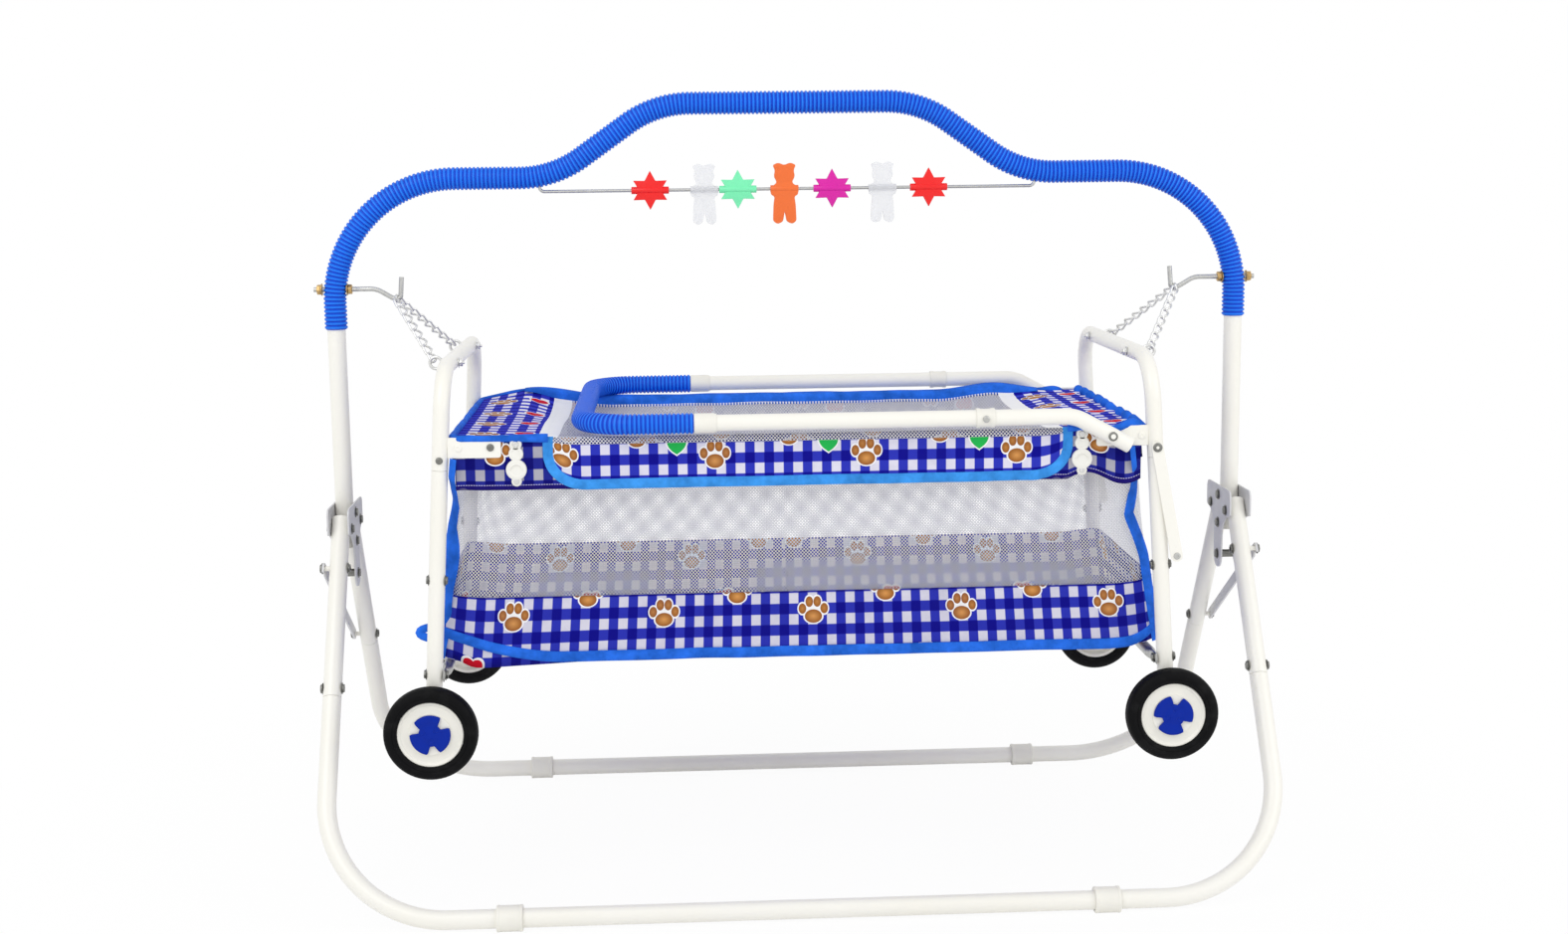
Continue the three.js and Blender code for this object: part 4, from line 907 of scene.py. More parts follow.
def arch_course(sizes):
    """The arch's centre line, from foot to foot over the shoulders and the crown."""
    far_knee = sizes.knee - (sizes.crown - sizes.shoulder) / tan(sizes.rise)
    half = [
        (sizes.half_span, 0, sizes.foot_height), (sizes.half_span, 0, sizes.shoulder),
        (sizes.knee, 0, sizes.shoulder), (far_knee, 0, sizes.crown),
    ]
    corners = [(-x, y, z) for x, y, z in half] + half[::-1]
    bends = [sizes.corner_bend, *[sizes.knee_bend] * 4, sizes.corner_bend]
    return Course(corners, bends, radians(3))


# Each toy's name, its place along the bar and its colour
TOYS = (
    ("star_red_left", -0.1705, "red"), ("figure_white_left", -0.104, "milk"), ("star_mint", -0.0625, "mint"),
    ("figure_orange", -0.005, "orange"), ("star_magenta", 0.054, "magenta"),
    ("figure_white_right", 0.1165, "milk"), ("star_red_right", 0.174, "red"),
)
# Half the outline of a plain standing figure, in shares of its height
FIGURE = (
    (0.03, -0.47), (0.12, -0.51), (0.19, -0.46), (0.18, -0.20), (0.16, -0.06), (0.22, -0.04), (0.226, 0.08),
    (0.12, 0.16), (0.17, 0.26), (0.15, 0.36), (0.19, 0.44), (0.10, 0.48),
)


class CRADLE_OT_toys(bpy.types.Operator):
    """Hangs the toy bar under the arch and threads seven toys on it"""

    bl_idname = "cradle.toys"
    bl_label = "Toy bar"

    def execute(self, context):
        sizes = context.scene.cradle_stand
        half, rise, wire, bend = 0.306, 0.014, 0.002, 0.006
        height = sizes.toy_height
        corners = [(-half, 0, height + rise), (-half, 0, height), (half, 0, height), (half, 0, height + rise)]
        solid = bmesh.new()
        add_pipe(solid, Course(corners, [bend, bend], radians(10)), Y, wire, sides=12)
        finish_piece("toy_bar_wire", solid, "stand", plated_steel("zinc"), ["toy_rod"], "zinc_steel")
        for name, x, tone in TOYS:
            solid = bmesh.new()
            place = Matrix.Translation((x, 0, height))
            if name.startswith("star"):
                add_star(solid, place)
            else:
                add_figure(solid, place)
            finish = milky() if tone == "milk" else moulded(tone)
            finish_piece(f"{name}_moulding", solid, f"{name}_toy", finish, [f"toy_{name}"])
        return {"FINISHED"}


def add_star(solid, place, radius=0.024, inner=0.0134, thickness=0.0064):
    """A six-pointed star on its hub."""
    with part(solid, place) as own:
        upright = Matrix.Rotation(pi / 2, 4, "X")
        bmesh.ops.create_circle(own, cap_ends=True, radius=radius, segments=12, matrix=upright)
        for vert in own.verts:
            turn = atan2(vert.co.z, vert.co.x) - pi / 2
            if round(turn / (pi / 6)) % 2:
                vert.co *= inner / radius
        thick_slab(own, thickness)
        soften(own, own.edges, 0.0008, 2)
    add_toy_hub(solid, place, 0.046)


def thick_slab(own, thickness):
    """Gives flat faces in the XZ plane a thickness about y = 0."""
    made = bmesh.ops.extrude_face_region(own, geom=own.faces[:])
    moved = [item for item in made["geom"] if isinstance(item, bmesh.types.BMVert)]
    bmesh.ops.translate(own, verts=moved, vec=(0, thickness, 0))
    bmesh.ops.translate(own, verts=own.verts, vec=(0, -thickness / 2, 0))


def add_toy_hub(solid, place, length):
    """The tube in a toy that slides on the bar."""
    profile = [(0.0022, -length / 2), (0.0042, -length / 2), (0.0045, -length / 2 + 0.0006)]
    profile += [(radius, -height) for radius, height in reversed(profile)]
    add_lathe(solid, profile, place @ Matrix.Rotation(pi / 2, 4, "Y"), 24, closed=True)


def add_figure(solid, place, height=0.076, thickness=0.0074):
    """A plain standing figure on its hub."""
    with part(solid, place) as own:
        right = [(x * height, (z - 0.06) * height) for x, z in FIGURE]
        outline = [(0, -0.36 * height), *right, (0, 0.38 * height), *[(-x, z) for x, z in reversed(right)]]
        verts = [own.verts.new((x, 0, z)) for x, z in outline]
        own.faces.new(verts)
        bmesh.ops.bevel(
            own, geom=verts, offset=0.0032, segments=4, profile=0.5, affect="VERTICES", material=-1,
            clamp_overlap=True,
        )
        thick_slab(own, thickness)
        shared = [edge for edge in own.edges if len(edge.link_faces) == 2]
        soften(own, [edge for edge in shared if edge.calc_face_angle() > 1.2], 0.0012)
    add_toy_hub(solid, place, 0.0346)


class CRADLE_OT_hooks(bpy.types.Operator):
    """Bends the two hooks, with their threads and nuts"""

    bl_idname = "cradle.hooks"
    bl_label = "Hooks"

    def execute(self, context):
        sizes = context.scene.cradle_stand
        for word, side in SIDES:
            solid = bmesh.new()
            height = sizes.hook_height
            line = [(0.5853, height), (0.509, height), (0.489, 0.705), (0.480, 0.705), (0.478, 0.731)]
            corners = [(side * x, 0, z) for x, z in line]
            course = Course(corners, [0.026, 0.012, 0.0035], radians(6))
            add_pipe(solid, course, Y, SHANK, sides=16)
            add_thread(solid, Vector(corners[0]), Vector((-side, 0, 0)), 0.056)
            nuts = bmesh.new()
            for way in (-1, 1):
                near = Vector((side * (sizes.half_span + way * 0.0163), 0, height))
                direction = Vector((side * way, 0, 0))
                add_washer(nuts, 0.0075, 0.0008, facing(near - direction * 0.0012, direction))
                add_prism(nuts, 6, 0.0065, 0.005, facing(near, direction, 0.3), 0.0007)
            hook = f"{word}_hook"
            finish_piece(f"{hook}_bar", solid, "stand", plated_steel("zinc"), [hook], "zinc_steel")
            finish_piece(f"{hook}_nuts", nuts, "stand", plated_steel("brass"), slot="zinc_steel")
        return {"FINISHED"}


def add_thread(solid, start, direction, length, crest=0.00315, root=0.0028, pitch=0.0013):
    """The crests and roots of a thread."""
    rings = []
    for i in range(round(length / pitch)):
        for share, wide in ((0.0, root), (0.5, crest)):
            rings.append(ring(start + direction * ((i + share) * pitch), direction, Y, wide))
    with part(solid) as own:
        sweep(own, rings, 14)


class CRADLE_OT_hinges(bpy.types.Operator):
    """Rivets up the hinge brackets and hangs the hooked locking stays"""

    bl_idname = "cradle.hinges"
    bl_label = "Hinge brackets and stays"

    def execute(self, context):
        sizes = context.scene.cradle_stand
        for word, side in SIDES:
            solid = bmesh.new()
            inside, outside = sizes.tube + 0.0004, sizes.tube + 0.0004 + HINGE_PLATE
            half = [
                (0.017, 0.345, 0.016), (0.017, 0.390, 0.010), (0.024, 0.414, 0.020), (0.054, 0.419, 0.004),
                (0.054, 0.451, 0.009),
            ]
            outline = [(-y, z, round_off) for y, z, round_off in reversed(half)] + half
            for x in (side * sizes.half_span + inside, side * sizes.half_span - outside):
                add_plate(solid, outline, HINGE_PLATE, Matrix.Translation((x, 0, 0)) @ UPRIGHT)
            lowest = 0.362
            spots = [(0, 0.439), (0, 0.403), (0, lowest)]
            spots += [(-sizes.pivot_y, sizes.pivot_z), (sizes.pivot_y, sizes.pivot_z)]
            bolts = bmesh.new()
            for y, z in spots:
                middle = Vector((side * sizes.half_span, y, z))
                radius = 0.005 if z == lowest else SHANK
                add_bar(bolts, middle - X * outside, middle + X * outside, radius, sides=16)
                for way in (-1, 1):
                    add_bolt(bolts, middle + X * way * outside, X * way)
            finish_piece(f"{word}_hinge_plates", solid, "stand", satin_zinc(), [f"{word}_hinge_bracket"])
            finish_piece(f"{word}_hinge_bolts", bolts, "stand", plated_steel("bolt"), slot="zinc_steel")
            self.hang_stay(sizes, word, side)
        return {"FINISHED"}

    def hang_stay(self, sizes, word, side):
        """A stay from the back leg's bolt, hooked over the front leg's."""
        lean, _ = leg_line(sizes)
        down = Vector((0, sin(lean), -cos(lean)))
        hook = Vector((0, -sizes.pivot_y, sizes.pivot_z)) + down * Vector((1, -1, 1)) * HOOKED_BOLT_DROP
        pivot = Vector((0, sizes.pivot_y, sizes.pivot_z)) + down * sizes.leg_joint
        reach, half, mouth, depth, end_round = -(pivot - hook).length, 0.007, 0.0039, 0.0038, 0.0065
        outline = [
            (half, -half, end_round), (half, half, end_round), (reach - half, half, end_round),
            (reach - half, -half, 0.0012), (reach - mouth, -half, 0.0008), (reach - mouth, depth, 0.0036),
            (reach + mouth, depth, 0.0036), (reach + mouth, 0, 0), (reach + 0.009, -half, 0.0012),
        ]
        layer = sizes.half_span + sizes.tube + 0.0057
        x = layer if side > 0 else -layer - STRIP
        tilt = Matrix.Rotation(atan2(pivot.z - hook.z, pivot.y - hook.y), 4, "X")
        place = Matrix.Translation((x, pivot.y, pivot.z)) @ tilt @ UPRIGHT
        solid = bmesh.new()
        add_plate(solid, outline, STRIP, place, 0.0004)
        name = f"{word}_locking_stay"
        finish_piece(f"{name}_strip", solid, f"{word}_stay", satin_zinc(), [name], "zinc_steel")


def leg_line(sizes):
    """A leg's lean from upright, and the distance from its pivot down to the rail's line."""
    out, down = sizes.rail_y - sizes.pivot_y, sizes.pivot_z - sizes.rail_z
    return atan2(out, down), hypot(out, down)


class CRADLE_OT_leg_frames(bpy.types.Operator):
    """Bends the front and back leg frames, with their rails, feet and bolts"""

    bl_idname = "cradle.leg_frames"
    bl_label = "Leg frames"

    def execute(self, context):
        sizes = context.scene.cradle_stand
        lean, length = leg_line(sizes)
        joint = sizes.leg_joint + sizes.tube
        for end, direction in ENDS:
            place = Matrix.Translation((0, direction * sizes.pivot_y, sizes.pivot_z))
            place = place @ Matrix.Rotation(direction * lean, 4, "X")
            body = f"{end}_legs"
            for word, side in SIDES:
                solid = bmesh.new()
                x = side * sizes.half_span
                line = Course([(x, 0, 0.014), (x, 0, -joint)], [])
                add_pipe(solid, line, Y, sizes.tube, sizes.bore, place)
                bolt_z = -HOOKED_BOLT_DROP if direction == FRONT else -sizes.leg_joint
                self.add_leg_bolt(solid, sizes, x, side, bolt_z, place)
                finish_piece(f"{end}_{word}_leg_pipe", solid, body, powder_coat(), [f"{end}_{word}_leg"])
                self.add_bolt_heads(sizes, f"{end}_{word}", x, side, bolt_z, place, body)
                self.add_foot(sizes, end, word, side, direction, body)
            solid = bmesh.new()
            half = sizes.half_span
            top = -joint - JOINT_GAP
            corners = [(-half, 0, top), (-half, 0, -length), (half, 0, -length), (half, 0, top)]
            course = Course(corners, [sizes.rail_bend] * 2, radians(3))
            add_pipe(solid, course, Y, sizes.tube, sizes.bore, place)
            for side in (-1, 1):
                add_spigot(solid, sizes, side * half, 0, top, Y, place)
            finish_piece(f"{end}_rail_pipe", solid, body, powder_coat(), [f"{end}_rail"])
        return {"FINISHED"}

    def add_leg_bolt(self, solid, sizes, x, side, bolt_z, place):
        """The bolt that the locking stay turns on or hooks over."""
        start = Vector((x - side * (sizes.tube + 0.003), 0, bolt_z))
        stop = Vector((x + side * (sizes.tube + 0.0112), 0, bolt_z))
        add_bar(solid, start, stop, SHANK, place=place)

    def add_bolt_heads(self, sizes, name, x, side, bolt_z, place, body):
        """The heads on both sides of a leg's bolts."""
        solid = bmesh.new()
        spots = [(x + side * (sizes.tube + 0.0085), side, bolt_z), (x - side * sizes.tube, -side, bolt_z)]
        if body == "front_legs":
            low = -sizes.leg_joint
            spots += [(x + side * sizes.tube, side, low), (x - side * sizes.tube, -side, low)]
        for at, way, height in spots:
            add_bolt(solid, place @ Vector((at, 0, height)), place.to_3x3() @ Vector((way, 0, 0)))
        finish_piece(f"{name}_leg_bolts", solid, body, plated_steel("bolt"), slot="zinc_steel")

    def add_foot(self, sizes, end, word, side, direction, body):
        """A plastic collar round the rail, cut flat at the floor."""
        x, y = side * 0.345, direction * sizes.rail_y
        half = [(0.0150, 0.0112), (0.0155, 0.0118), (0.0155, 0.0144), (0.0149, 0.015), (0.0115, 0.015)]
        profile = [(radius, -height) for radius, height in reversed(half)] + half
        solid = bmesh.new()
        with part(solid, Matrix.Translation((x, y, sizes.rail_z)) @ Matrix.Rotation(pi / 2, 4, "Y")) as own:
            verts = [own.verts.new((radius, 0, height)) for radius, height in profile]
            edges = [own.edges.new(pair) for pair in zip(verts, [*verts[1:], verts[0]])]
            bmesh.ops.spin(own, geom=verts + edges, axis=Z, angle=tau, steps=48, use_merge=True)
            floor = Vector((sizes.rail_z, 0, 0))
            geometry = own.verts[:] + own.edges[:] + own.faces[:]
            cut = bmesh.ops.bisect_plane(own, geom=geometry, plane_co=floor, plane_no=X, clear_outer=True)
            rim = [item for item in cut["geom_cut"] if isinstance(item, bmesh.types.BMEdge)]
            bmesh.ops.edgeloop_fill(own, edges=rim)
        name = f"{end}_{word}_foot"
        finish_piece(f"{name}_collar", solid, body, moulded("hub", 0.4), [name])


# Cradle frame


def end_place(sizes, side):
    """The place of an end frame: its top's middle, leaning out below."""
    lean = Matrix.Rotation(-side * sizes.splay, 4, "Y")
    return Matrix.Translation((side * sizes.bow_x, 0, sizes.bow_z)) @ lean


def down_the_frame(sizes, drop):
    """X and Z at a distance down an end frame."""
    return sizes.bow_x + drop * sin(sizes.splay), sizes.bow_z - drop * cos(sizes.splay)


class CRADLE_OT_end_frames(bpy.types.Operator):
    """Builds the end bows, lower legs, cross bars and corner plates"""

    bl_idname = "cradle.end_frames"
    bl_label = "End frames"

    def execute(self, context):
        sizes = context.scene.cradle_frame
        for word, side in SIDES:
            place = end_place(sizes, side)
            solid = bmesh.new()
            half, drop = sizes.bow_y, sizes.joint_drop
            corners = [(0, -half, -drop), (0, -half, 0), (0, half, 0), (0, half, -drop)]
            add_pipe(solid, Course(corners, [sizes.bow_bend] * 2), X, sizes.tube, sizes.bore, place)
            fasteners = bmesh.new()
            for end in (-1, 1):
                self.add_corner(solid, fasteners, sizes, side, end, place)
            finish_piece(f"{word}_bow_pipe", solid, "cradle", powder_coat(), [f"{word}_end_bow"])
            for end_word, end in ENDS:
                self.add_lower_leg(fasteners, sizes, f"{end_word}_{word}", side, end, place)
            self.add_cross_bar(sizes, word, side, place)
            finish_piece(f"{word}_end_screws", fasteners, "cradle", plated_steel("bolt"), slot="zinc_steel")
        for end_word, end in ENDS:
            solid = bmesh.new()
            reach = sizes.bow_x + 0.0047 - sizes.tube
            line = Course([(x, end * sizes.rim_y, sizes.rim_z) for x in (-reach, reach)], [])
            add_pipe(solid, line, Z, sizes.rim_rail, sizes.rim_rail - 0.0013, sides=20)
            finish_piece(f"{end_word}_rim_pipe", solid, "cradle", powder_coat(), [f"{end_word}_rim_rail"])
            self.add_stay_bar(sizes, end_word, end)
        return {"FINISHED"}

    def add_corner(self, solid, fasteners, sizes, side, end, place):
        """A corner plate with its rivets, two on the left and one on the right, and the screws of this
        corner.
        """
        leg_x = sizes.bow_x + (sizes.bow_z - sizes.rim_z) * tan(sizes.splay)
        face = sizes.rim_y + sizes.rim_rail + 0.0026
        inner, outer, half, thickness = leg_x - sizes.tube - 0.060, leg_x - sizes.tube + 0.001, 0.012, 0.0027
        outline = [(inner, -half, 0.003), (outer, -half, 0), (outer, half, 0), (inner, half, 0.003)]
        low = face if end == BACK else -face - thickness
        place_plate = Matrix.Translation((0, low, sizes.rim_z)) @ Matrix.Scale(side, 4, X) @ FACING_BACK
        add_plate(solid, outline, thickness, place_plate)
        front = end * (face + thickness)
        for x in (inner + 0.012, outer - 0.012) if side == LEFT else (outer - 0.008,):
            target = fasteners if x < outer - 0.02 else solid
            add_dome(target, (side * x, front, sizes.rim_z), (0, end, 0), 0.0044, 0.0018)
        if side == LEFT:
            spot = place @ Vector((0, end * (sizes.bow_y + sizes.tube - 0.0004), -sizes.screw_drop))
            add_dome(fasteners, spot, (0, end, 0), 0.0042, 0.0024)
        else:
            self.add_handle_stud(solid, fasteners, sizes, end, place)

    def add_handle_stud(self, solid, fasteners, sizes, end, place):
        """The studs that the handle and a stay bar turn on."""
        pivot = handle_pivot(sizes)
        near, far = sizes.rim_y + sizes.rim_rail + 0.003, sizes.handle_y + sizes.tube + 0.0018
        add_bar(solid, pivot + Y * end * near, pivot + Y * end * far, SHANK)
        start = pivot + Y * end * (sizes.handle_y + sizes.tube + JOINT_GAP)
        add_dome(fasteners, start, (0, end, 0), 0.0055, 0.0015)
        knob = place @ Vector((0, end * (sizes.bow_y + sizes.tube + 0.0032), -sizes.screw_drop))
        add_bar(solid, knob - Y * end * 0.005, knob + Y * end * 0.001, SHANK)
        add_dome(fasteners, knob, (0, end, 0), 0.0055, 0.0015)

    def add_lower_leg(self, fasteners, sizes, name, side, end, place):
        """A lower leg with its spigot, axle and bolts."""
        solid = bmesh.new()
        y = end * sizes.bow_y
        top = -sizes.joint_drop - JOINT_GAP
        line = Course([(0, y, top), (0, y, -sizes.axle_drop - 0.014)], [])
        add_pipe(solid, line, X, sizes.tube, sizes.bore, place)
        add_spigot(solid, sizes, 0, y, top, X, place)
        axle = wheel_middle(sizes, side, end)
        inner = end * (sizes.bow_y + sizes.tube - 0.002)
        outer = axle.y + end * (sizes.wheel_width / 2 - 0.004)
        add_bar(solid, (axle.x, inner, axle.z), (axle.x, outer, axle.z), 0.004, sides=20)
        finish_piece(f"{name}_lower_leg_pipe", solid, "cradle", powder_coat(), [f"{name}_lower_leg"])
        inward = (place.to_3x3() @ Vector((-side, 0, 0))).normalized()
        wall = sizes.tube - JOINT_GAP
        for drop, bar in ((-0.2455, 0.0), (-sizes.bolt_drop, 0.0037)):
            outer_face = place @ Vector((side * wall, y, drop))
            inner_face = place @ Vector((-side * (wall + bar), y, drop))
            add_bolt(fasteners, outer_face, -inward, 0.0052)
            add_bolt(fasteners, inner_face, inward, 0.0052)
        add_bar(fasteners, place @ Vector((side * 0.009, y, -sizes.bolt_drop)), inner_face, SHANK, Y, 12)

    def add_cross_bar(self, sizes, word, side, place):
        """A bar between the lower legs, its ends pressed flat."""
        solid = bmesh.new()
        x = -side * (sizes.tube + 0.0019)
        flat = -sizes.bow_y - sizes.tube + 0.026
        stops = [
            (flat - 0.024, 0.0015, 0.0070), (flat - 0.004, 0.0015, 0.0070), (flat + 0.008, 0.0068, 0.0068),
        ]
        stops += [(-y, wide, deep) for y, wide, deep in reversed(stops)]
        rings = [ring(Vector((x, y, -sizes.bolt_drop)), Y, Z, wide, deep) for y, wide, deep in stops]
        with part(solid, place) as own:
            sweep(own, rings, 20)
        finish_piece(f"{word}_cross_pipe", solid, "cradle", plated_steel("zinc"), [f"{word}_cross_bar"])

    def add_stay_bar(self, sizes, word, end):
        """The strip that props the handle, with the pin in its lower end."""
        x, z = down_the_frame(sizes, sizes.screw_drop)
        inner = sizes.bow_y + sizes.tube + 0.0004
        low = inner if end == BACK else -inner - STRIP
        half, length = 0.007, 0.132
        spots = ((-half, half), (-half, -length - half), (half, -length - half), (half, half))
        place = Matrix.Translation((x, low, z)) @ Matrix.Rotation(-radians(11), 4, "Y") @ FACING_BACK
        solid = bmesh.new()
        add_plate(solid, [(*spot, 0.0068) for spot in spots], STRIP, place, 0.0004)
        tip = place @ Vector((0, -length, STRIP if end == BACK else 0))
        name = f"{word}_handle_stay"
        pin = bmesh.new()
        add_dome(pin, tip, (0, end, 0), 0.0042, 0.0015)
        finish_piece(f"{name}_pin", pin, f"{word}_prop", plated_steel("zinc"), slot="zinc_steel")
        finish_piece(f"{name}_bar", solid, f"{word}_prop", powder_coat(), [name], "white_coat")


# The handle's arms: where they bend, where they turn on their studs, and how far their tails run on and down
HANDLE_BEND_X, HANDLE_PIVOT_X = 0.318, 0.361
HANDLE_TAIL, HANDLE_FALL = 0.065, 0.035


def handle_pivot(sizes):
    slope = HANDLE_FALL / HANDLE_TAIL
    return Vector((HANDLE_PIVOT_X, 0, sizes.handle_z - (HANDLE_PIVOT_X - HANDLE_BEND_X) * slope))


def wheel_middle(sizes, side, end):
    x, z = down_the_frame(sizes, sizes.axle_drop)
    y = sizes.bow_y + sizes.tube + 0.002 + sizes.wheel_width / 2
    return Vector((side * x, end * y, z))


class CRADLE_OT_chains(bpy.types.Operator):
    """Links the chains and screws in their eye bolts"""

    bl_idname = "cradle.chains"
    bl_label = "Chains"

    def execute(self, context):
        sizes = context.scene.cradle_frame
        for word, side in SIDES:
            solid = bmesh.new()
            middle = Vector((side * 0.485, 0, 0.7048))
            half = 0.0065
            self.add_link(solid, middle, Y, Z, half, 0)
            for end in (-1, 1):
                eye = Vector((side * (sizes.bow_x + 0.017), end * 0.110, sizes.bow_z))
                start = middle + Y * end * (half - 0.001)
                along = (eye - start).normalized()
                last = eye - along * 0.0035
                links = 8
                step = (last - start).length / links
                widthways = (X - along * along.x).normalized()
                for i in range(links):
                    centre = start + along * step * (i + 0.5)
                    self.add_link(solid, centre, along, widthways, step / 2 + 0.0012, pi / 2)
                self.add_eye_bolt(solid, sizes, side, eye)
            finish_piece(f"{word}_chain_links", solid, "cradle", plated_steel("bright"), [f"{word}_chain"])
        return {"FINISHED"}

    def add_link(self, solid, centre, along, widthways, half, twist, wire=0.00145, wide=0.0042):
        """A closed link of round wire, twisted about its own length."""
        straight = half - wire - wide
        deep = along.cross(widthways)
        steps = 28
        points = []
        for i in range(steps):
            way = tau * i / steps
            reach = wide * cos(way) + (straight if cos(way) > 0 else -straight)
            across = wide * sin(way)
            turn = twist * reach / (2 * (half - wire))
            aside = widthways * (across * cos(turn)) + deep * (across * sin(turn))
            points.append(centre + along * reach + aside)
        rings = []
        for i, point in enumerate(points):
            heading = points[(i + 1) % steps] - points[i - 1]
            rings.append(ring(point, heading, deep + widthways * 0.13, wire))
        with part(solid) as own:
            sweep(own, rings, 8, closed=True)

    def add_eye_bolt(self, solid, sizes, side, eye):
        """An eye through the bow, with its nut inside and its washer outside."""
        radius, wire = 0.007, 0.0019
        add_ring(solid, radius, wire, facing(eye, (0, 1, 0)))
        inward = Vector((-side, 0, 0))
        stop = Vector((side * (sizes.bow_x - sizes.tube - 0.0073), eye.y, eye.z))
        add_bar(solid, eye + inward * radius, stop, wire, sides=12)
        face = Vector((side * (sizes.bow_x - sizes.tube - 0.0002), eye.y, eye.z))
        add_bolt(solid, face, inward, 0.0051, 0.0048)
        face = Vector((side * (sizes.bow_x + sizes.tube + 0.0002), eye.y, eye.z))
        add_washer(solid, 0.0055, 0.0008, facing(face, -inward), 20)


class CRADLE_OT_handle(bpy.types.Operator):
    """Bends the push handle and dresses it with its grip, collars and screws"""

    bl_idname = "cradle.handle"
    bl_label = "Push handle"

    def execute(self, context):
        sizes = context.scene.cradle_frame
        stand = context.scene.cradle_stand
        y, z = sizes.handle_y, sizes.handle_z
        bend, loop_bend = 0.045, 0.062
        arm = [(0.383, -y, 0.535), (HANDLE_BEND_X, -y, z), (-0.255, -y, z)]
        corners = [*arm, *[(x, -across, height) for x, across, height in reversed(arm)]]
        course = Course(corners, [bend, loop_bend, loop_bend, bend])
        solid = bmesh.new()
        self.add_arms(solid, course, sizes)
        finish_piece("handle_pipe", solid, "handle", powder_coat(), ["handle_tube"])
        slope = atan2(HANDLE_FALL, HANDLE_TAIL)
        setback = bend * tan(slope / 2)
        grip_x = -0.124
        start = hypot(HANDLE_TAIL, HANDLE_FALL) - setback + bend * slope + (HANDLE_BEND_X - setback - grip_x)
        solid = bmesh.new()
        add_sleeve(solid, course, Z, start, course.length - start, stand, sizes.tube / stand.tube)
        finish_piece("handle_ribbed_sleeve", solid, "handle", ribbed_finishes(), ["handle_sleeve"])
        self.add_collars(sizes)
        return {"FINISHED"}

    def add_arms(self, solid, course, sizes):
        """The tube, whose normal changes from the arms' slope to the level loop."""
        rings = []
        for along in (0.0, *course.stops[1:-1], course.length):
            point, heading = course.place(along)
            across = Z if abs(heading.z) < 0.9 else X
            rings.append(ring(point, heading, across, sizes.tube))
        share, depth = sizes.bore / sizes.tube, 0.02
        mouths = [matrix @ Matrix.Diagonal((share, share, 1, 1)) for matrix in (rings[0], rings[-1])]
        deep_start = mouths[0] @ Matrix.Translation((0, 0, depth))
        deep_end = mouths[1] @ Matrix.Translation((0, 0, -depth))
        with part(solid) as own:
            sweep(own, [deep_start, mouths[0], *rings, mouths[1], deep_end], 24)

    def add_collars(self, sizes):
        """The plastic collars beside the grip and the screwed ones on the arms."""
        bore = 0.0098
        grip_end = [
            (bore, 0), (0.0109, 0), (0.0115, 0.0008), (0.0115, 0.022), (0.0106, 0.026), (bore, 0.026),
        ]
        screwed = [
            (bore, 0), (0.0110, 0), (0.0115, 0.0006), (0.0115, 0.0042), (0.0108, 0.0056), (0.0108, 0.0164),
            (0.0115, 0.0178), (0.0115, 0.0214), (0.0110, 0.022), (bore, 0.022),
        ]
        plastic, screws = bmesh.new(), bmesh.new()
        for end in (-1, 1):
            y = end * sizes.handle_y
            for x, profile in ((-0.1237, grip_end), (0.202, screwed)):
                add_lathe(plastic, profile, facing((x, y, sizes.handle_z), (1, 0, 0)), 32, closed=True)
            spot = Vector((0.213, y + end * 0.0104, sizes.handle_z))
            add_dome(screws, spot, (0, end, 0), 0.0042, 0.0022)
        finish_piece("handle_collars", plastic, "handle", moulded("hub", 0.3), slot="ivory_plastic")
        finish_piece("handle_screws", screws, "handle", plated_steel("zinc"), slot="zinc_steel")


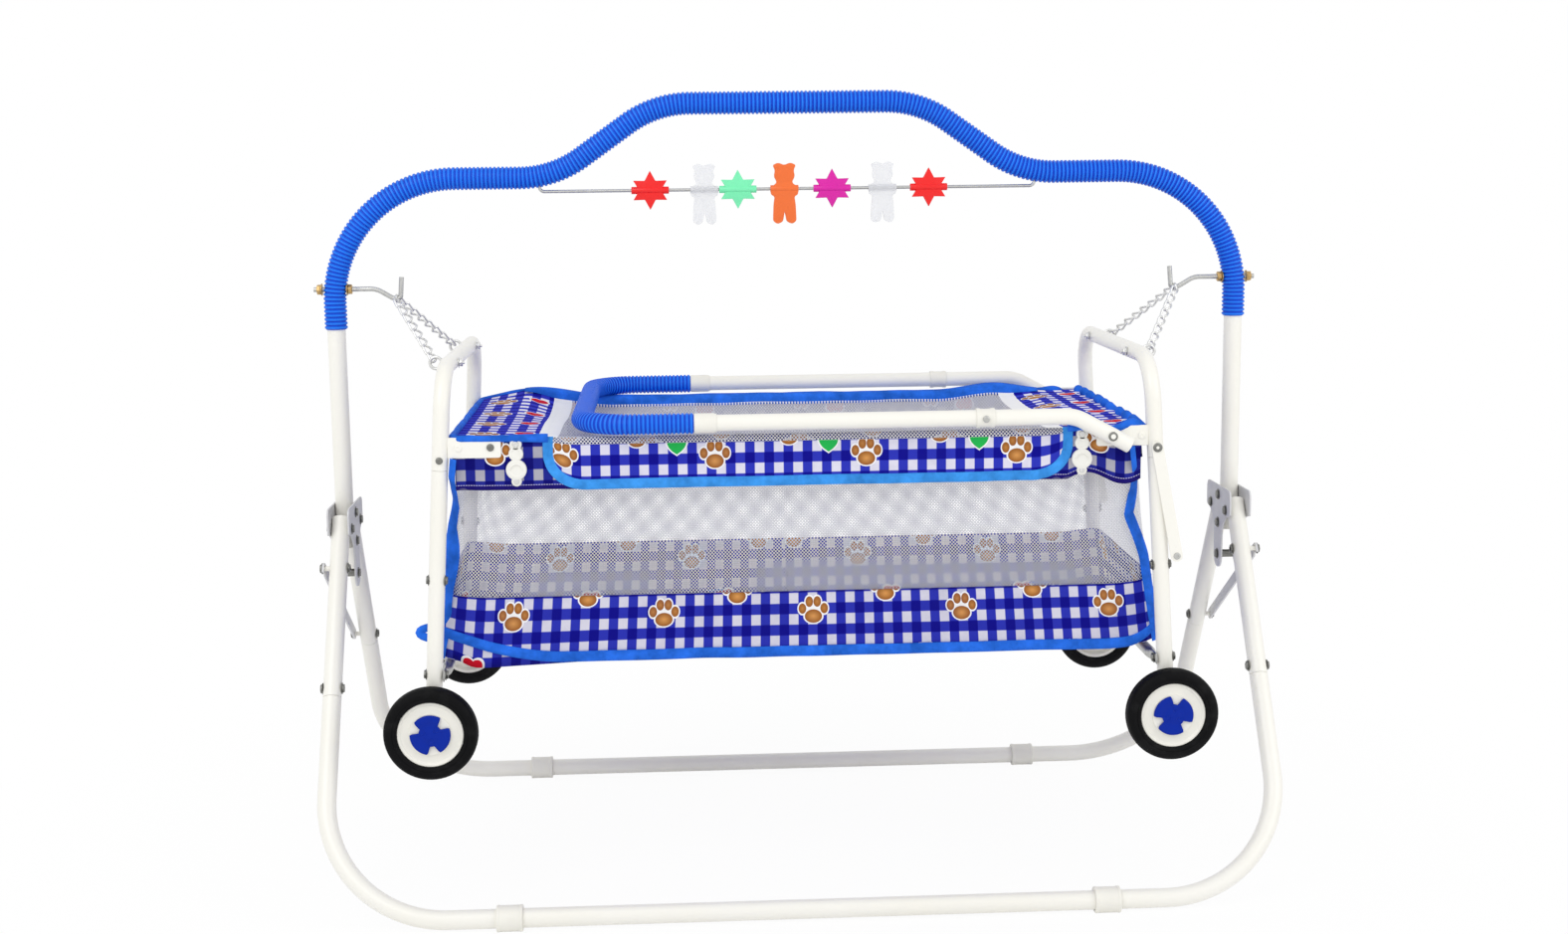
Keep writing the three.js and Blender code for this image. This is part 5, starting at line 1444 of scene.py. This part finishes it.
class CRADLE_OT_wheels(bpy.types.Operator):
    """Turns the four wheels: tyre, hub and notched cap"""

    bl_idname = "cradle.wheels"
    bl_label = "Wheels"

    def execute(self, context):
        sizes = context.scene.cradle_frame
        for word, side in SIDES:
            for end_word, end in ENDS:
                corner = f"{end_word}_{word}"
                outward = facing(wheel_middle(sizes, side, end), (0, end, 0))
                self.add_tyre(sizes, corner, outward)
                self.add_hub(corner, outward)
                self.add_cap(corner, outward, side)
        return {"FINISHED"}

    def add_tyre(self, sizes, corner, place):
        solid = bmesh.new()
        out = sizes.wheel
        half = [
            (0.0389, 0.0100), (0.0402, 0.0114), (0.0420, 0.0120), (0.0432, 0.0120), (0.0438, 0.0115),
            (0.0446, 0.0120), (0.0480, 0.0119), (0.0512, 0.0108), (0.0534, 0.0086), (0.0545, 0.0058),
            (out - 0.0001, 0.0030), (out - 0.0001, 0.0011), (out - 0.0009, 0.0006),
        ]
        profile = [(radius, -height) for radius, height in half] + half[::-1]
        add_lathe(solid, profile, place, 64, closed=True)
        finish_piece(f"{corner}_tyre_ring", solid, f"{corner}_wheel", tyre_rubber(), [f"{corner}_tyre"])

    def add_hub(self, corner, place):
        solid = bmesh.new()
        profile = [
            (0.0044, -0.012), (0.0090, -0.012), (0.0090, 0.0042), (0.0340, 0.0042), (0.0352, -0.0085),
            (0.0386, -0.0085), (0.0386, 0.0076), (0.0380, 0.0082), (0.0366, 0.0082), (0.0356, 0.0074),
            (0.0340, 0.0060), (0.0262, 0.0060), (0.0250, 0.0066), (0.0244, 0.0078), (0.0044, 0.0078),
        ]
        add_lathe(solid, profile, place, 64, closed=True)
        finish_piece(f"{corner}_hub_disc", solid, f"{corner}_wheel", moulded("hub", 0.3), [f"{corner}_hub"])

    def add_cap(self, corner, place, side):
        """A cap with three notches round its edge and a dished face."""
        solid = bmesh.new()
        turn = radians(39) if side == LEFT else radians(80)
        lift = Matrix.Translation((0, 0, 0.0083)) @ Matrix.Rotation(turn, 4, "Z")
        profile = [
            (0.0232, 0), (0.0236, 0.0004), (0.0236, 0.0019), (0.0232, 0.0025), (0.0224, 0.0028),
            (0.0150, 0.0030), (0.0142, 0.0026), (0.0082, 0.0024), (0.0074, 0.0028), (0.0030, 0.0029),
        ]
        heights = [Matrix.Translation((0, 0, z)) @ Matrix.Diagonal((wide, wide, 1, 1)) for wide, z in profile]
        with part(solid, place @ lift) as own:
            bmesh.ops.create_circle(own, radius=1, segments=108)
            for vert in own.verts:
                notch = max(0.0, (cos(3 * atan2(vert.co.y, vert.co.x)) - 0.62) / 0.38)
                vert.co *= 1 - 0.42 * min(1.0, 1.7 * notch) ** 0.6
            own.transform(heights[0])
            first = own.edges[:]
            last = draw_on(own, first, heights)
            bmesh.ops.edgeloop_fill(own, edges=first)
            bmesh.ops.edgeloop_fill(own, edges=last)
        finish = moulded("cap", 0.28, 0.12)
        finish_piece(f"{corner}_cap_disc", solid, f"{corner}_wheel", finish, [f"{corner}_cap"], sharp=40)


# Cloth


def tub_outline(cloth, z):
    """Half length and half width of the basket at a height, with its walls drawn in."""
    share = (z - cloth.floor_z) / (cloth.hem_z - cloth.floor_z)
    half_x = cloth.floor_x + (cloth.top_x - cloth.floor_x) * share
    half_y = 0.170 + 0.012 * share
    slack = sin(pi * clamped(share))
    return half_x - 0.003 * slack, half_y - 0.004 * slack


def corner_lift(cloth, point):
    """How much the cloth is drawn up towards the corners."""
    return 0.007 * clamped((abs(point.x) - cloth.floor_x + 0.075) / 0.06) ** 2


def floor_slack(point):
    """How far the floor hangs under the front, left of its middle."""
    along = min((point.x + 0.412) / 0.022, (-0.185 - point.x) / 0.20)
    return 0.0085 * clamped(along) * clamped((0.06 - point.y) / 0.10)


def tub_wall(cloth, u, z, pull=0.0):
    """A point on the wall: u runs once round, from the middle of the back."""
    half_x, half_y = tub_outline(cloth, z)
    straight_x, straight_y = 2 * (half_x - TUB_CORNER), 2 * (half_y - TUB_CORNER)
    bend = pi / 2 * TUB_CORNER
    lengths = [straight_x / 2, bend, straight_y, bend, straight_x, bend, straight_y, bend, straight_x / 2]
    spot = (u % 1.0) * sum(lengths)
    heading = pi
    point = Vector((0, half_y, z))
    for i, length in enumerate(lengths):
        step = min(spot, length)
        if i % 2 == 0:
            point += Vector((cos(heading), sin(heading), 0)) * step
        else:
            turn = step / TUB_CORNER
            point += Vector((-sin(heading), cos(heading), 0)) * TUB_CORNER * (1 - cos(turn))
            point += Vector((cos(heading), sin(heading), 0)) * TUB_CORNER * sin(turn)
            heading += turn
        spot -= step
        if spot <= 0:
            break
    inward = Vector((-sin(heading), cos(heading), 0))
    return point + inward * pull


def tub_length(cloth, z):
    """The way once round the wall at a height."""
    half_x, half_y = tub_outline(cloth, z)
    return 4 * (half_x + half_y) - (8 - tau) * TUB_CORNER


class CRADLE_OT_basket(bpy.types.Operator):
    """Sews the basket: gingham band and floor, net windows and bindings"""

    bl_idname = "cradle.basket"
    bl_label = "Basket"

    def execute(self, context):
        cloth = context.scene.cradle_cloth
        around = tub_length(cloth, cloth.band_z)
        rise = cloth.band_z - cloth.floor_z

        def band(u, v):
            z = cloth.floor_z + rise * v
            wave = 0.0016 * ruffle((u * 9, v, 0), 4.0)
            point = tub_wall(cloth, u, z, wave + 0.0035 * (1 - v) ** 6)
            point.z += corner_lift(cloth, point) - floor_slack(point) * (1 - v) ** 2
            return point

        # depth 0.9 darkens the band's gingham as painted shade
        finish = gingham(0.066, 0.012, pull=1.16, depth=0.9)
        piece = drape(
            "basket_band", 420, 8, band, (around, rise), "cradle", finish, closed=True, stands_for=["basket"],
            slot="gingham",
        )
        thicken(piece, 0.0009)
        self.lay_floor(cloth)
        net_rise = cloth.hem_z - 0.004 - cloth.band_z

        def window(u, v):
            z = cloth.band_z + net_rise * v
            wave = 0.0025 * ruffle((u * 7, v * 0.6, 3), 3.0)
            point = tub_wall(cloth, u, z, wave * sin(pi * v) + 0.0012)
            point.z += corner_lift(cloth, point) * (1 - v)
            return point

        piece = drape(
            "basket_net", 300, 24, window, (around, net_rise), "cradle", mosquito_net(), closed=True,
            slot="net",
        )
        self.bind(cloth)
        self.add_board()
        return {"FINISHED"}

    def lay_floor(self, cloth):
        """The floor, whose rim is drawn up with the band at the corners."""
        half_x, half_y = tub_outline(cloth, cloth.floor_z)
        cut = (2 * half_x, 2 * half_y)
        turn_in = 0.004
        half_x -= turn_in
        half_y -= turn_in

        def floor(u, v):
            x, y = (2 * u - 1), (2 * v - 1)
            place = Vector((x * half_x, y * half_y, cloth.floor_z))
            rim = max(eased((abs(place.x) - 0.420) / 0.012), eased((abs(place.y) - 0.156) / 0.008))
            sag = floor_slack(place) + 0.0008 * (1 - max(abs(x), abs(y)) ** 4)
            place.z += corner_lift(cloth, place) * rim - sag
            return place

        piece = drape("basket_floor", 60, 30, floor, cut, "cradle", gingham(0.05, 0.03), slot="gingham")
        round_corners(piece, half_x, half_y, 0.024)
        thicken(piece, 0.0008)

    def bind(self, cloth):
        """Blue tape down the front corners and round the lower edge."""
        tape = bmesh.new()
        steps = 360
        middle, proud = cloth.floor_z + 0.004, -0.0008
        rings = []
        for i in range(steps):
            u = i / steps
            low = middle + 0.0012 * ruffle((u * 30, 0, 5), 1.0)
            low += self.tape_lift(cloth, tub_wall(cloth, u, low))
            point = tub_wall(cloth, u, low, proud)
            ahead = tub_wall(cloth, u + 0.002, middle, proud)
            wide = 0.0024 + 0.0005 * ruffle((u * 60, 1, 0), 1.0)
            heading = Vector((ahead.x - point.x, ahead.y - point.y, 0))
            point.z += corner_lift(cloth, point)
            rings.append(ring(point, heading, Z, wide, cloth.tape / 2))
        with part(tape) as own:
            sweep(own, rings, 12, closed=True)
        for side in (LEFT, RIGHT):
            self.bind_corner(cloth, tape, side)
        self.fold_ear(tape)
        finish_piece("basket_binding", tape, "cradle", binding_tape("binding"), slot="blue_sleeve")

    def tape_lift(self, cloth, point):
        """How far the lower tape climbs the wall towards a front corner."""
        reach, height = (0.170, 0.026) if point.x < 0 else (0.050, 0.014)
        near = eased((abs(point.x) - cloth.floor_x + reach) / reach)
        return height * near ** 1.4 * eased((-point.y - 0.04) / 0.12)

    def bind_corner(self, cloth, tape, side):
        """The wide tape down a front corner, from over the valance to the floor."""
        steps = 60
        low, high = cloth.floor_z + 0.006, 0.5325
        kink_z, kink_reach = 0.447, 0.055
        over_z, over_reach, over_y = 0.475, 0.035, 0.2022
        kink, swing, width = (-0.004, 0.0060, 0.0092) if side == LEFT else (0.014, -0.0070, 0.0084)
        points = []
        for i in range(steps + 1):
            z = low + (high - low) * i / steps
            half_x, half_y = tub_outline(cloth, z)
            inset = 0.0075 + kink * clamped(1 - abs(z - kink_z) / kink_reach) ** 1.3
            round_off = TUB_CORNER - sqrt(TUB_CORNER ** 2 - max(0.0, TUB_CORNER - inset) ** 2)
            over = clamped((z - over_z) / over_reach)
            y = (half_y - round_off + 0.0014) * (1 - over) + over_y * over
            points.append(Vector((side * (half_x - inset + swing * over), FRONT * y, z)))
        outward = Vector((side, FRONT * 1.3, 0)).normalized()
        rings = []
        for i, (point, heading) in enumerate(headed(points)):
            fold = ruffle((side, FRONT * 2, i * 0.10), 1.0, 2.0)
            leaning = outward + Vector((0.5 * fold, 0, 0))
            narrow = 1 - 0.45 * eased((point.z - over_z) / over_reach)
            wide, deep = (width + 0.0026 * fold) * narrow, 0.0015 + 0.0006 * fold
            rings.append(ring(point, heading, leaning, wide, deep))
        with part(tape) as own:
            sweep(own, rings, 12)

    def fold_ear(self, tape):
        """The end of the tape, folded back on itself at the foot of the left front corner."""
        root = Vector((-0.424, -0.1665, 0.3205))
        out, back, drop = -0.028, 0.004, 0.0080
        rings = []
        for i in range(13):
            way = pi * i / 12
            reach = Vector((out * sin(way), back * sin(way), drop * cos(way)))
            heading = Vector((out * cos(way), back * cos(way), -drop * sin(way)))
            rings.append(ring(root + reach, heading, -Y, 0.0050, 0.0026))
        with part(tape) as own:
            sweep(own, rings, 10)

    def add_board(self):
        """The base board in its gingham cover."""
        half_x, half_y, top, rim = 0.410, 0.155, 0.2892, 0.012
        cut = (2 * half_x + 0.002, 2 * half_y + 0.002)

        def lay(u, v):
            x, y = (2 * u - 1) * half_x, (2 * v - 1) * half_y
            edge = max(abs(x) - half_x + rim, abs(y) - half_y + rim, 0)
            dimple = 0.0006 * ruffle((x, y, 0), 22.0)
            return Vector((x, y, top + dimple - 0.002 * (edge / rim) ** 2))

        finish = gingham(0.11 - cut[0] / 2, 0.05 - cut[1] / 2, hearts="green")
        piece = drape(
            "base_board_cover", 82, 32, lay, cut, "cradle", finish, stands_for=["base_board"], slot="gingham"
        )
        round_corners(piece, half_x, half_y, 0.026)
        thicken(piece, 0.0028, -1.0)


def round_corners(piece, half_x, half_y, radius):
    """Draws the corners of a flat sheet in onto quarter circles."""
    for vert in piece.data.vertices:
        x, y = abs(vert.co.x) - (half_x - radius), abs(vert.co.y) - (half_y - radius)
        if x > 0 and y > 0:
            reach = max(x, y) / hypot(x, y)
            vert.co.x = (half_x - radius + x * reach) * (1 if vert.co.x > 0 else -1)
            vert.co.y = (half_y - radius + y * reach) * (1 if vert.co.y > 0 else -1)


def valance_gingham(shift_u, shift_v):
    """The valances' gingham, its dyes darkened by depth as painted shade, with its stitched hem."""
    return gingham(shift_u, shift_v, hem=0.0052, pull=1.2, depth=0.56)


class CRADLE_OT_valances(bpy.types.Operator):
    """Folds the hems over the rim rails and lets the valances hang"""

    bl_idname = "cradle.valances"
    bl_label = "Valances"

    def execute(self, context):
        cloth = context.scene.cradle_cloth
        sizes = context.scene.cradle_frame
        for word, end in ENDS:
            self.hang_long(cloth, sizes, word, end)
        for word, side in SIDES:
            self.hang_end(cloth, word, side)
        return {"FINISHED"}

    def hang_long(self, cloth, sizes, word, end):
        """A front or back valance: up the inside, over the rim rail and down the outside."""
        inner = sizes.rim_y - sizes.rim_rail - 0.0013
        outer = sizes.rim_y + sizes.rim_rail + 0.0011
        inside, width, fall = 0.030, outer - inner, cloth.hem_z - cloth.valance_z
        down = inside + width + fall
        top = cloth.hem_z - 0.0014
        swell_x = 0.312

        def hang(u, v):
            x = (2 * u - 1) * (cloth.top_x - 0.001)
            along = (1 - v) * down
            if along < inside:
                y, z = inner, cloth.hem_z - inside + along
            elif along < inside + width:
                share = (along - inside) / width
                y, z = inner + width * share, top + 0.0012 * sin(pi * share)
            else:
                low = (along - inside - width) / fall
                wave = 0.0016 * ruffle((x, low * 0.25, end), 9.0)
                crimp = max(0.0, (abs(x) - 0.33) / 0.07)
                pleat = 0.0022 * sin(x * 150) * crimp
                y = outer + 0.0008 + low * (0.0010 + max(-0.0010, wave + pleat))
                swell = 0.0075 * sin((x - swell_x) * 70) if x > swell_x else 0.0
                z = top - (fall - 0.0014) * low + low * (0.0016 * ruffle((x, 0, end), 14.0) + swell)
            return Vector((x, end * y, z))

        cut = (2 * cloth.top_x, down)
        finish = valance_gingham(0.03 * end, 0.02)
        piece = drape(f"{word}_valance", 320, 46, hang, cut, "cradle", finish, slot="gingham")
        thicken(piece, 0.0007, 0.0)

    def hang_end(self, cloth, word, side):
        """The strip of gingham that closes the hem across an end wall."""
        half, fall = 0.178, 0.046

        def hang(u, v):
            y = (2 * u - 1) * half
            near = abs(2 * u - 1)
            wave = 0.0010 * ruffle((y, side, 0), 18.0) * (1 - v)
            z = cloth.hem_z - 0.003 - (1 - v) * (fall - 0.012 * near ** 3)
            half_x, _ = tub_outline(cloth, z)
            return Vector((side * (half_x + 0.0016 + wave), y, z))

        cut = (2 * half, fall)
        finish = valance_gingham(0.09 * side, 0.03)
        piece = drape(f"{word}_end_valance", 90, 12, hang, cut, "cradle", finish, slot="gingham")
        thicken(piece, 0.0006, 0.0)


class CRADLE_OT_net_cover(bpy.types.Operator):
    """Lays the net cover over the rim, with its end panels, tapes, bindings and front flap"""

    bl_idname = "cradle.net_cover"
    bl_label = "Net cover"

    def execute(self, context):
        cloth = context.scene.cradle_cloth
        self.half_x, self.half_y = cloth.top_x + 0.002, 0.1965
        # The net window lies inside the outer pair of edges, and its white tapes inside each of them
        left, left_tape, right_tape, right = -0.306, -0.283, 0.290, 0.313

        def lay(u, v):
            x, y = (2 * u - 1) * self.half_x, (2 * v - 1) * self.half_y
            return Vector((x, y, self.height(x, y)))

        def kind(u, _):
            x = (2 * u - 1) * self.half_x
            if left < x < left_tape or right_tape < x < right:
                return 2
            return 0 if left < x < right else 1

        # depth 1.22 lightens the end panels' gingham as painted light
        finishes = [mosquito_net(0.22), gingham(0.07, 0.04, depth=1.22), white_tape()]
        cut = (2 * self.half_x, 2 * self.half_y)
        piece = drape(
            "net_cover_panel", 268, 100, lay, cut, "cradle", finishes, kind, stands_for=["net_cover"],
            slot="net",
        )
        self.bind_edges(cloth)
        self.lap_back()
        self.hang_flap(cloth)
        return {"FINISHED"}

    def height(self, x, y):
        """The height of the cover, with its sag, its ripples and the humps and the dip at the back."""
        far = max(abs(x) / self.half_x, abs(y) / self.half_y)
        sag = 0.0062 * (1 - far ** 3)
        ripple = 0.0012 * ruffle((x, y, 0), 11.0) * (1 - far ** 6)
        hump = 0.013 * max(0.0, cos(min(1.0, abs(x + 0.325) / 0.10) * pi / 2)) ** 2
        hump += 0.008 * max(0.0, cos(min(1.0, abs(x - 0.285) / 0.08) * pi / 2)) ** 2
        across = min(eased((0.1815 - y) / 0.004), eased((y + 0.07) / 0.20))
        dip = 0.0092 * eased((0.345 - abs(x)) / 0.05) * across
        return 0.5546 - sag - dip + ripple + hump * max(0.0, y / self.half_y) ** 1.5

    def bind_edges(self, cloth):
        """The tape round the cover's ends and back, gathered at the right."""
        half_x, half_y = self.half_x, self.half_y
        tape = bmesh.new()
        corners = [(-half_x, -half_y), (-half_x, half_y), (half_x, half_y), (half_x, -half_y)]
        line = [(cloth.flap_left, -half_y), *corners, (cloth.flap_right, -half_y)]
        course = Course([(x, y, 0) for x, y in line], [0.012] * 4, radians(12))
        steps = 520
        rings = []
        for i in range(steps + 1):
            point, heading = course.place(course.length * i / steps)
            gathered = clamped((point.x - 0.335) / 0.05)
            back = clamped((point.y - 0.12) / 0.06)
            phase = point.y * 150 + point.x * 110 + 2.5 * ruffle((point.y, 0, 0), 18.0)
            pleat = sin(phase) * 0.0042 * gathered
            wobble = 0.0012 * ruffle((point.x, point.y, 0), 16.0)
            inward = Z.cross(heading)
            lift = self.height(point.x, point.y) + 0.0006 + 0.8 * pleat + wobble - 0.0022 * back
            spot = Vector((point.x, point.y, lift)) - inward * (pleat - 0.0015)
            full = 1 + 0.25 * ruffle((point.x, point.y, 4), 22.0) + 60 * pleat
            tall = 0.0044 + 0.0006 * gathered
            rings.append(ring(spot, heading, Z, (0.0038 + 0.001 * gathered) * full, tall * full))
        with part(tape) as own:
            sweep(own, rings, 12)
        finish_piece("net_cover_binding", tape, "cradle", binding_tape("binding"), slot="blue_sleeve")

    def lap_back(self):
        """The back binding's wide lap, from its edge over the hem and down the inside."""
        half = 0.345
        section = [
            Vector((0.1962, 0.0015)), Vector((0.1888, 0.0034)), Vector((0.1812, 0.0016)),
            Vector((0.1790, -0.0022)), Vector((0.1784, -0.0112)),
        ]
        stops = [0.0]
        for before, after in zip(section, section[1:]):
            stops.append(stops[-1] + (after - before).length)

        def lap(u, v):
            x = (2 * u - 1) * half
            along = v * stops[-1]
            step = max(i for i in range(len(stops) - 1) if stops[i] <= along)
            share = (along - stops[step]) / (stops[step + 1] - stops[step])
            y, drop = section[step].lerp(section[step + 1], share)
            drop *= eased((0.352 - abs(x)) / 0.06) if drop < 0 else 1
            wobble = 0.0010 * ruffle((x, v * 0.01, 3), 16.0)
            return Vector((x, y + 0.5 * wobble, self.height(x, self.half_y) + drop + wobble))

        cut = (2 * half, stops[-1])
        finish = binding_tape("binding")
        piece = drape("net_cover_lap", 170, 12, lap, cut, "cradle", finish, slot="blue_sleeve")
        thicken(piece, 0.0007, 0.0)

    def hang_flap(self, cloth):
        """The flap over the front rim, with its binding in a paler blue that paints light on it."""
        left, right = cloth.flap_left, cloth.flap_right
        top, face, rounding = 0.5562, -0.1983, 0.042
        length, fall = right - left, top - cloth.flap_z

        def edge(x):
            """How far the rounded corners lift the lower edge."""
            short = rounding - min(x - left, right - x, rounding)
            return 0.85 * (rounding - sqrt(max(0.0, rounding ** 2 - short ** 2)))

        def hang(u, v):
            x = left + length * u
            drop = (fall - edge(x)) * (1 - v)
            wave = ruffle((x, drop * 2, 7), 8.0) * 0.0007 * (1 - v)
            roll = 0.003 * max(0.0, 1 - drop / 0.003)
            return Vector((x, face - wave + roll, top - drop - 0.3 * roll))

        finishes = [gingham(0.0, 0.031, hearts="green", pull=1.1), mosquito_net(0.25)]
        piece = drape(
            "net_cover_flap", 260, 24, hang, (length, fall), "cradle", finishes, lambda _, v: int(v > 0.83),
            slot="gingham",
        )
        thicken(piece, 0.0006, 0.0)
        tape = bmesh.new()
        down, across = 24, 240
        heights = [top - (fall - edge(left)) * i / down for i in range(down + 1)]
        spots = [Vector((left, face, z)) for z in heights]
        for i in range(1, across):
            x = left + length * i / across
            z = top - fall + edge(x) + 0.003 + 0.0008 * ruffle((x, 0, 2), 14.0)
            spots.append(Vector((x, face, z)))
        spots += [Vector((right, face, z)) for z in reversed(heights)]
        wide = cloth.tape / 2 * 0.95
        rings = [ring(spot, heading, Y, wide, 0.0012) for spot, heading in headed(spots)]
        with part(tape) as own:
            sweep(own, rings, 12)
        # The flap's binding tone is the binding's blue made paler as painted light
        finish_piece("net_flap_binding", tape, "cradle", binding_tape("light_binding"), slot="blue_sleeve")


class CRADLE_OT_clips(bpy.types.Operator):
    """Moulds the two net clips"""

    bl_idname = "cradle.clips"
    bl_label = "Net clips"

    def execute(self, context):
        # Each lobe's height, radius and depth, from the top down
        lobes = (
            (0.548, 0.0070, 0.0030), (0.537, 0.0085, 0.0030),
            (0.5185, 0.0120, 0.0036), (0.505, 0.0060, 0.0030),
        )
        face = -0.1974
        for word, side in SIDES:
            solid = bmesh.new()
            x = side * 0.329
            for z, radius, depth in lobes:
                profile = [
                    (0, 0), (radius, 0), (radius, depth - 0.0012), (radius - 0.0004, depth - 0.0004),
                    (radius - 0.0012, depth), (radius * 0.62, depth), (radius * 0.55, depth - 0.0006),
                    (0, depth - 0.0006),
                ]
                add_lathe(solid, profile, facing((x, face, z), -Y), 32)
            bow, steps = 0.0074, 18
            rings = []
            for i in range(steps + 1):
                way = radians(10 + 160 * i / steps)
                spot = Vector((x + bow * cos(way), face - 0.0036, 0.5178 + bow * sin(way)))
                rings.append(ring(spot, Vector((-sin(way), 0, cos(way))), Y, 0.0010, 0.0011))
            with part(solid) as own:
                sweep(own, rings, 10)
            name = f"{word}_net_clip"
            finish_piece(f"{name}_moulding", solid, "cradle", moulded("clip", 0.3), [name])
            solid = bmesh.new()
            for z, radius, height in ((0.548, 0.0036, 0.0016), (0.505, 0.0034, 0.0014)):
                add_dome(solid, (x, face - 0.0022, z), -Y, radius, height)
            finish_piece(f"{name}_screws", solid, "cradle", plated_steel("bright"), slot="zinc_steel")
        return {"FINISHED"}


# Stage


class CRADLE_OT_stage(bpy.types.Operator):
    """Sets the floor, the lamps and the camera"""

    bl_idname = "cradle.stage"
    bl_label = "Stage"

    def execute(self, context):
        settings = context.scene.cradle_stage
        self.lay_floor()
        self.set_world(context.scene, settings)
        self.add_lamp("key_lamp", (-1.6, -2.2, 2.6), 2.2, settings.key)
        self.add_lamp("fill_lamp", (2.2, -1.6, 1.6), 2.0, settings.fill)
        self.add_camera(context.scene, settings)
        context.scene.view_settings.view_transform = "Standard"
        return {"FINISHED"}

    def lay_floor(self):
        solid = bmesh.new()
        bmesh.ops.create_circle(solid, cap_ends=True, radius=14, segments=64)
        mesh = bpy.data.meshes.new("floor")
        solid.to_mesh(mesh)
        solid.free()
        floor = bpy.data.objects.new("floor", mesh)
        bpy.context.collection.objects.link(floor)
        mesh.materials.append(self.floor_finish())

    def floor_finish(self):
        finish = Finish(bpy.data.materials.new("pale_floor"))
        finish.set(base_color=(0.96, 0.96, 0.96), roughness=0.9)
        seen = self.seen(finish)
        glow = finish.node("ShaderNodeEmission", None, {"Color": (1, 1, 1, 1), "Strength": 1.0})
        far = ((finish.length(finish.place()) - 0.40) / 0.75).within()
        mixed = finish.node("ShaderNodeMixShader", None, {0: seen * (0.94 + far * 0.06)})
        finish.tree.links.new(finish.shader.outputs[0], mixed.inputs[1])
        finish.tree.links.new(glow.outputs[0], mixed.inputs[2])
        finish.tree.links.new(mixed.outputs[0], finish.tree.nodes["Material Output"].inputs[0])
        return finish.owner

    def seen(self, finish):
        """One for what the camera sees straight, in a gloss or through a glass."""
        path = finish.node("ShaderNodeLightPath")
        rays = [finish.out(path, name) for name in ("Is Camera Ray", "Is Glossy Ray", "Is Transmission Ray")]
        return (rays[0] + rays[1] + rays[2]).within()

    def set_world(self, scene, settings):
        world = bpy.data.worlds.new("studio")
        scene.world = world
        sky = Finish(world)
        background = sky.tree.nodes["Background"]
        sky.join(background.inputs["Color"], (1, 1, 1))
        sky.join(background.inputs["Strength"], self.seen(sky) * (1.0 - settings.sky) + settings.sky)

    def add_lamp(self, name, spot, width, power):
        data = bpy.data.lights.new(name, "AREA")
        data.shape = "DISK"
        data.size = width
        data.energy = power
        lamp = bpy.data.objects.new(name, data)
        bpy.context.collection.objects.link(lamp)
        lamp.matrix_world = facing(Vector(spot), Vector(spot) - Vector((0, 0, 0.5)))

    def add_camera(self, scene, settings):
        data = bpy.data.cameras.new("camera")
        data.lens = settings.focal
        data.sensor_width = 36
        camera = bpy.data.objects.new("camera", data)
        bpy.context.collection.objects.link(camera)
        pitch, yaw, roll = settings.pitch, settings.yaw, settings.roll
        forward = Vector((sin(yaw) * cos(pitch), cos(yaw) * cos(pitch), -sin(pitch)))
        right = Vector((cos(yaw), -sin(yaw), 0))
        up = right.cross(forward)
        turned_right = right * cos(roll) + up * sin(roll)
        turned_up = up * cos(roll) - right * sin(roll)
        turn = Matrix((turned_right, turned_up, -forward)).transposed().to_4x4()
        spot = Matrix.Translation((settings.camera_x, settings.camera_y, settings.camera_z))
        camera.matrix_world = spot @ turn
        scene.camera = camera


class CRADLE_PT_builder(bpy.types.Panel):
    """Lists the steps of the cradle in the 3D view's sidebar"""

    bl_idname = "CRADLE_PT_builder"
    bl_label = "Swing Cradle"
    bl_space_type = "VIEW_3D"
    bl_region_type = "UI"
    bl_category = "Cradle"

    def draw(self, context):
        layout = self.layout
        for operator in OPERATORS:
            layout.operator(operator.bl_idname)
        for key in SETTINGS:
            box = layout.box()
            group = getattr(context.scene, key)
            for name in group.__annotations__:
                box.prop(group, name)


SETTINGS = {
    "cradle_stand": StandSizes,
    "cradle_frame": CradleSizes,
    "cradle_cloth": ClothSizes,
    "cradle_colours": Colours,
    "cradle_stage": StageSettings,
}
OPERATORS = (
    CRADLE_OT_stage,
    CRADLE_OT_arch,
    CRADLE_OT_toys,
    CRADLE_OT_hooks,
    CRADLE_OT_hinges,
    CRADLE_OT_leg_frames,
    CRADLE_OT_end_frames,
    CRADLE_OT_chains,
    CRADLE_OT_handle,
    CRADLE_OT_wheels,
    CRADLE_OT_basket,
    CRADLE_OT_valances,
    CRADLE_OT_net_cover,
    CRADLE_OT_clips,
)


def register():
    for cls in (*SETTINGS.values(), *OPERATORS, CRADLE_PT_builder):
        bpy.utils.register_class(cls)
    for key, group in SETTINGS.items():
        setattr(bpy.types.Scene, key, PointerProperty(type=group))


def unregister():
    for key in SETTINGS:
        delattr(bpy.types.Scene, key)
    for cls in reversed((*SETTINGS.values(), *OPERATORS, CRADLE_PT_builder)):
        bpy.utils.unregister_class(cls)


def main():
    register()
    for operator in OPERATORS:
        group, name = operator.bl_idname.split(".")
        getattr(getattr(bpy.ops, group), name)()


if __name__ == "__main__":
    main()
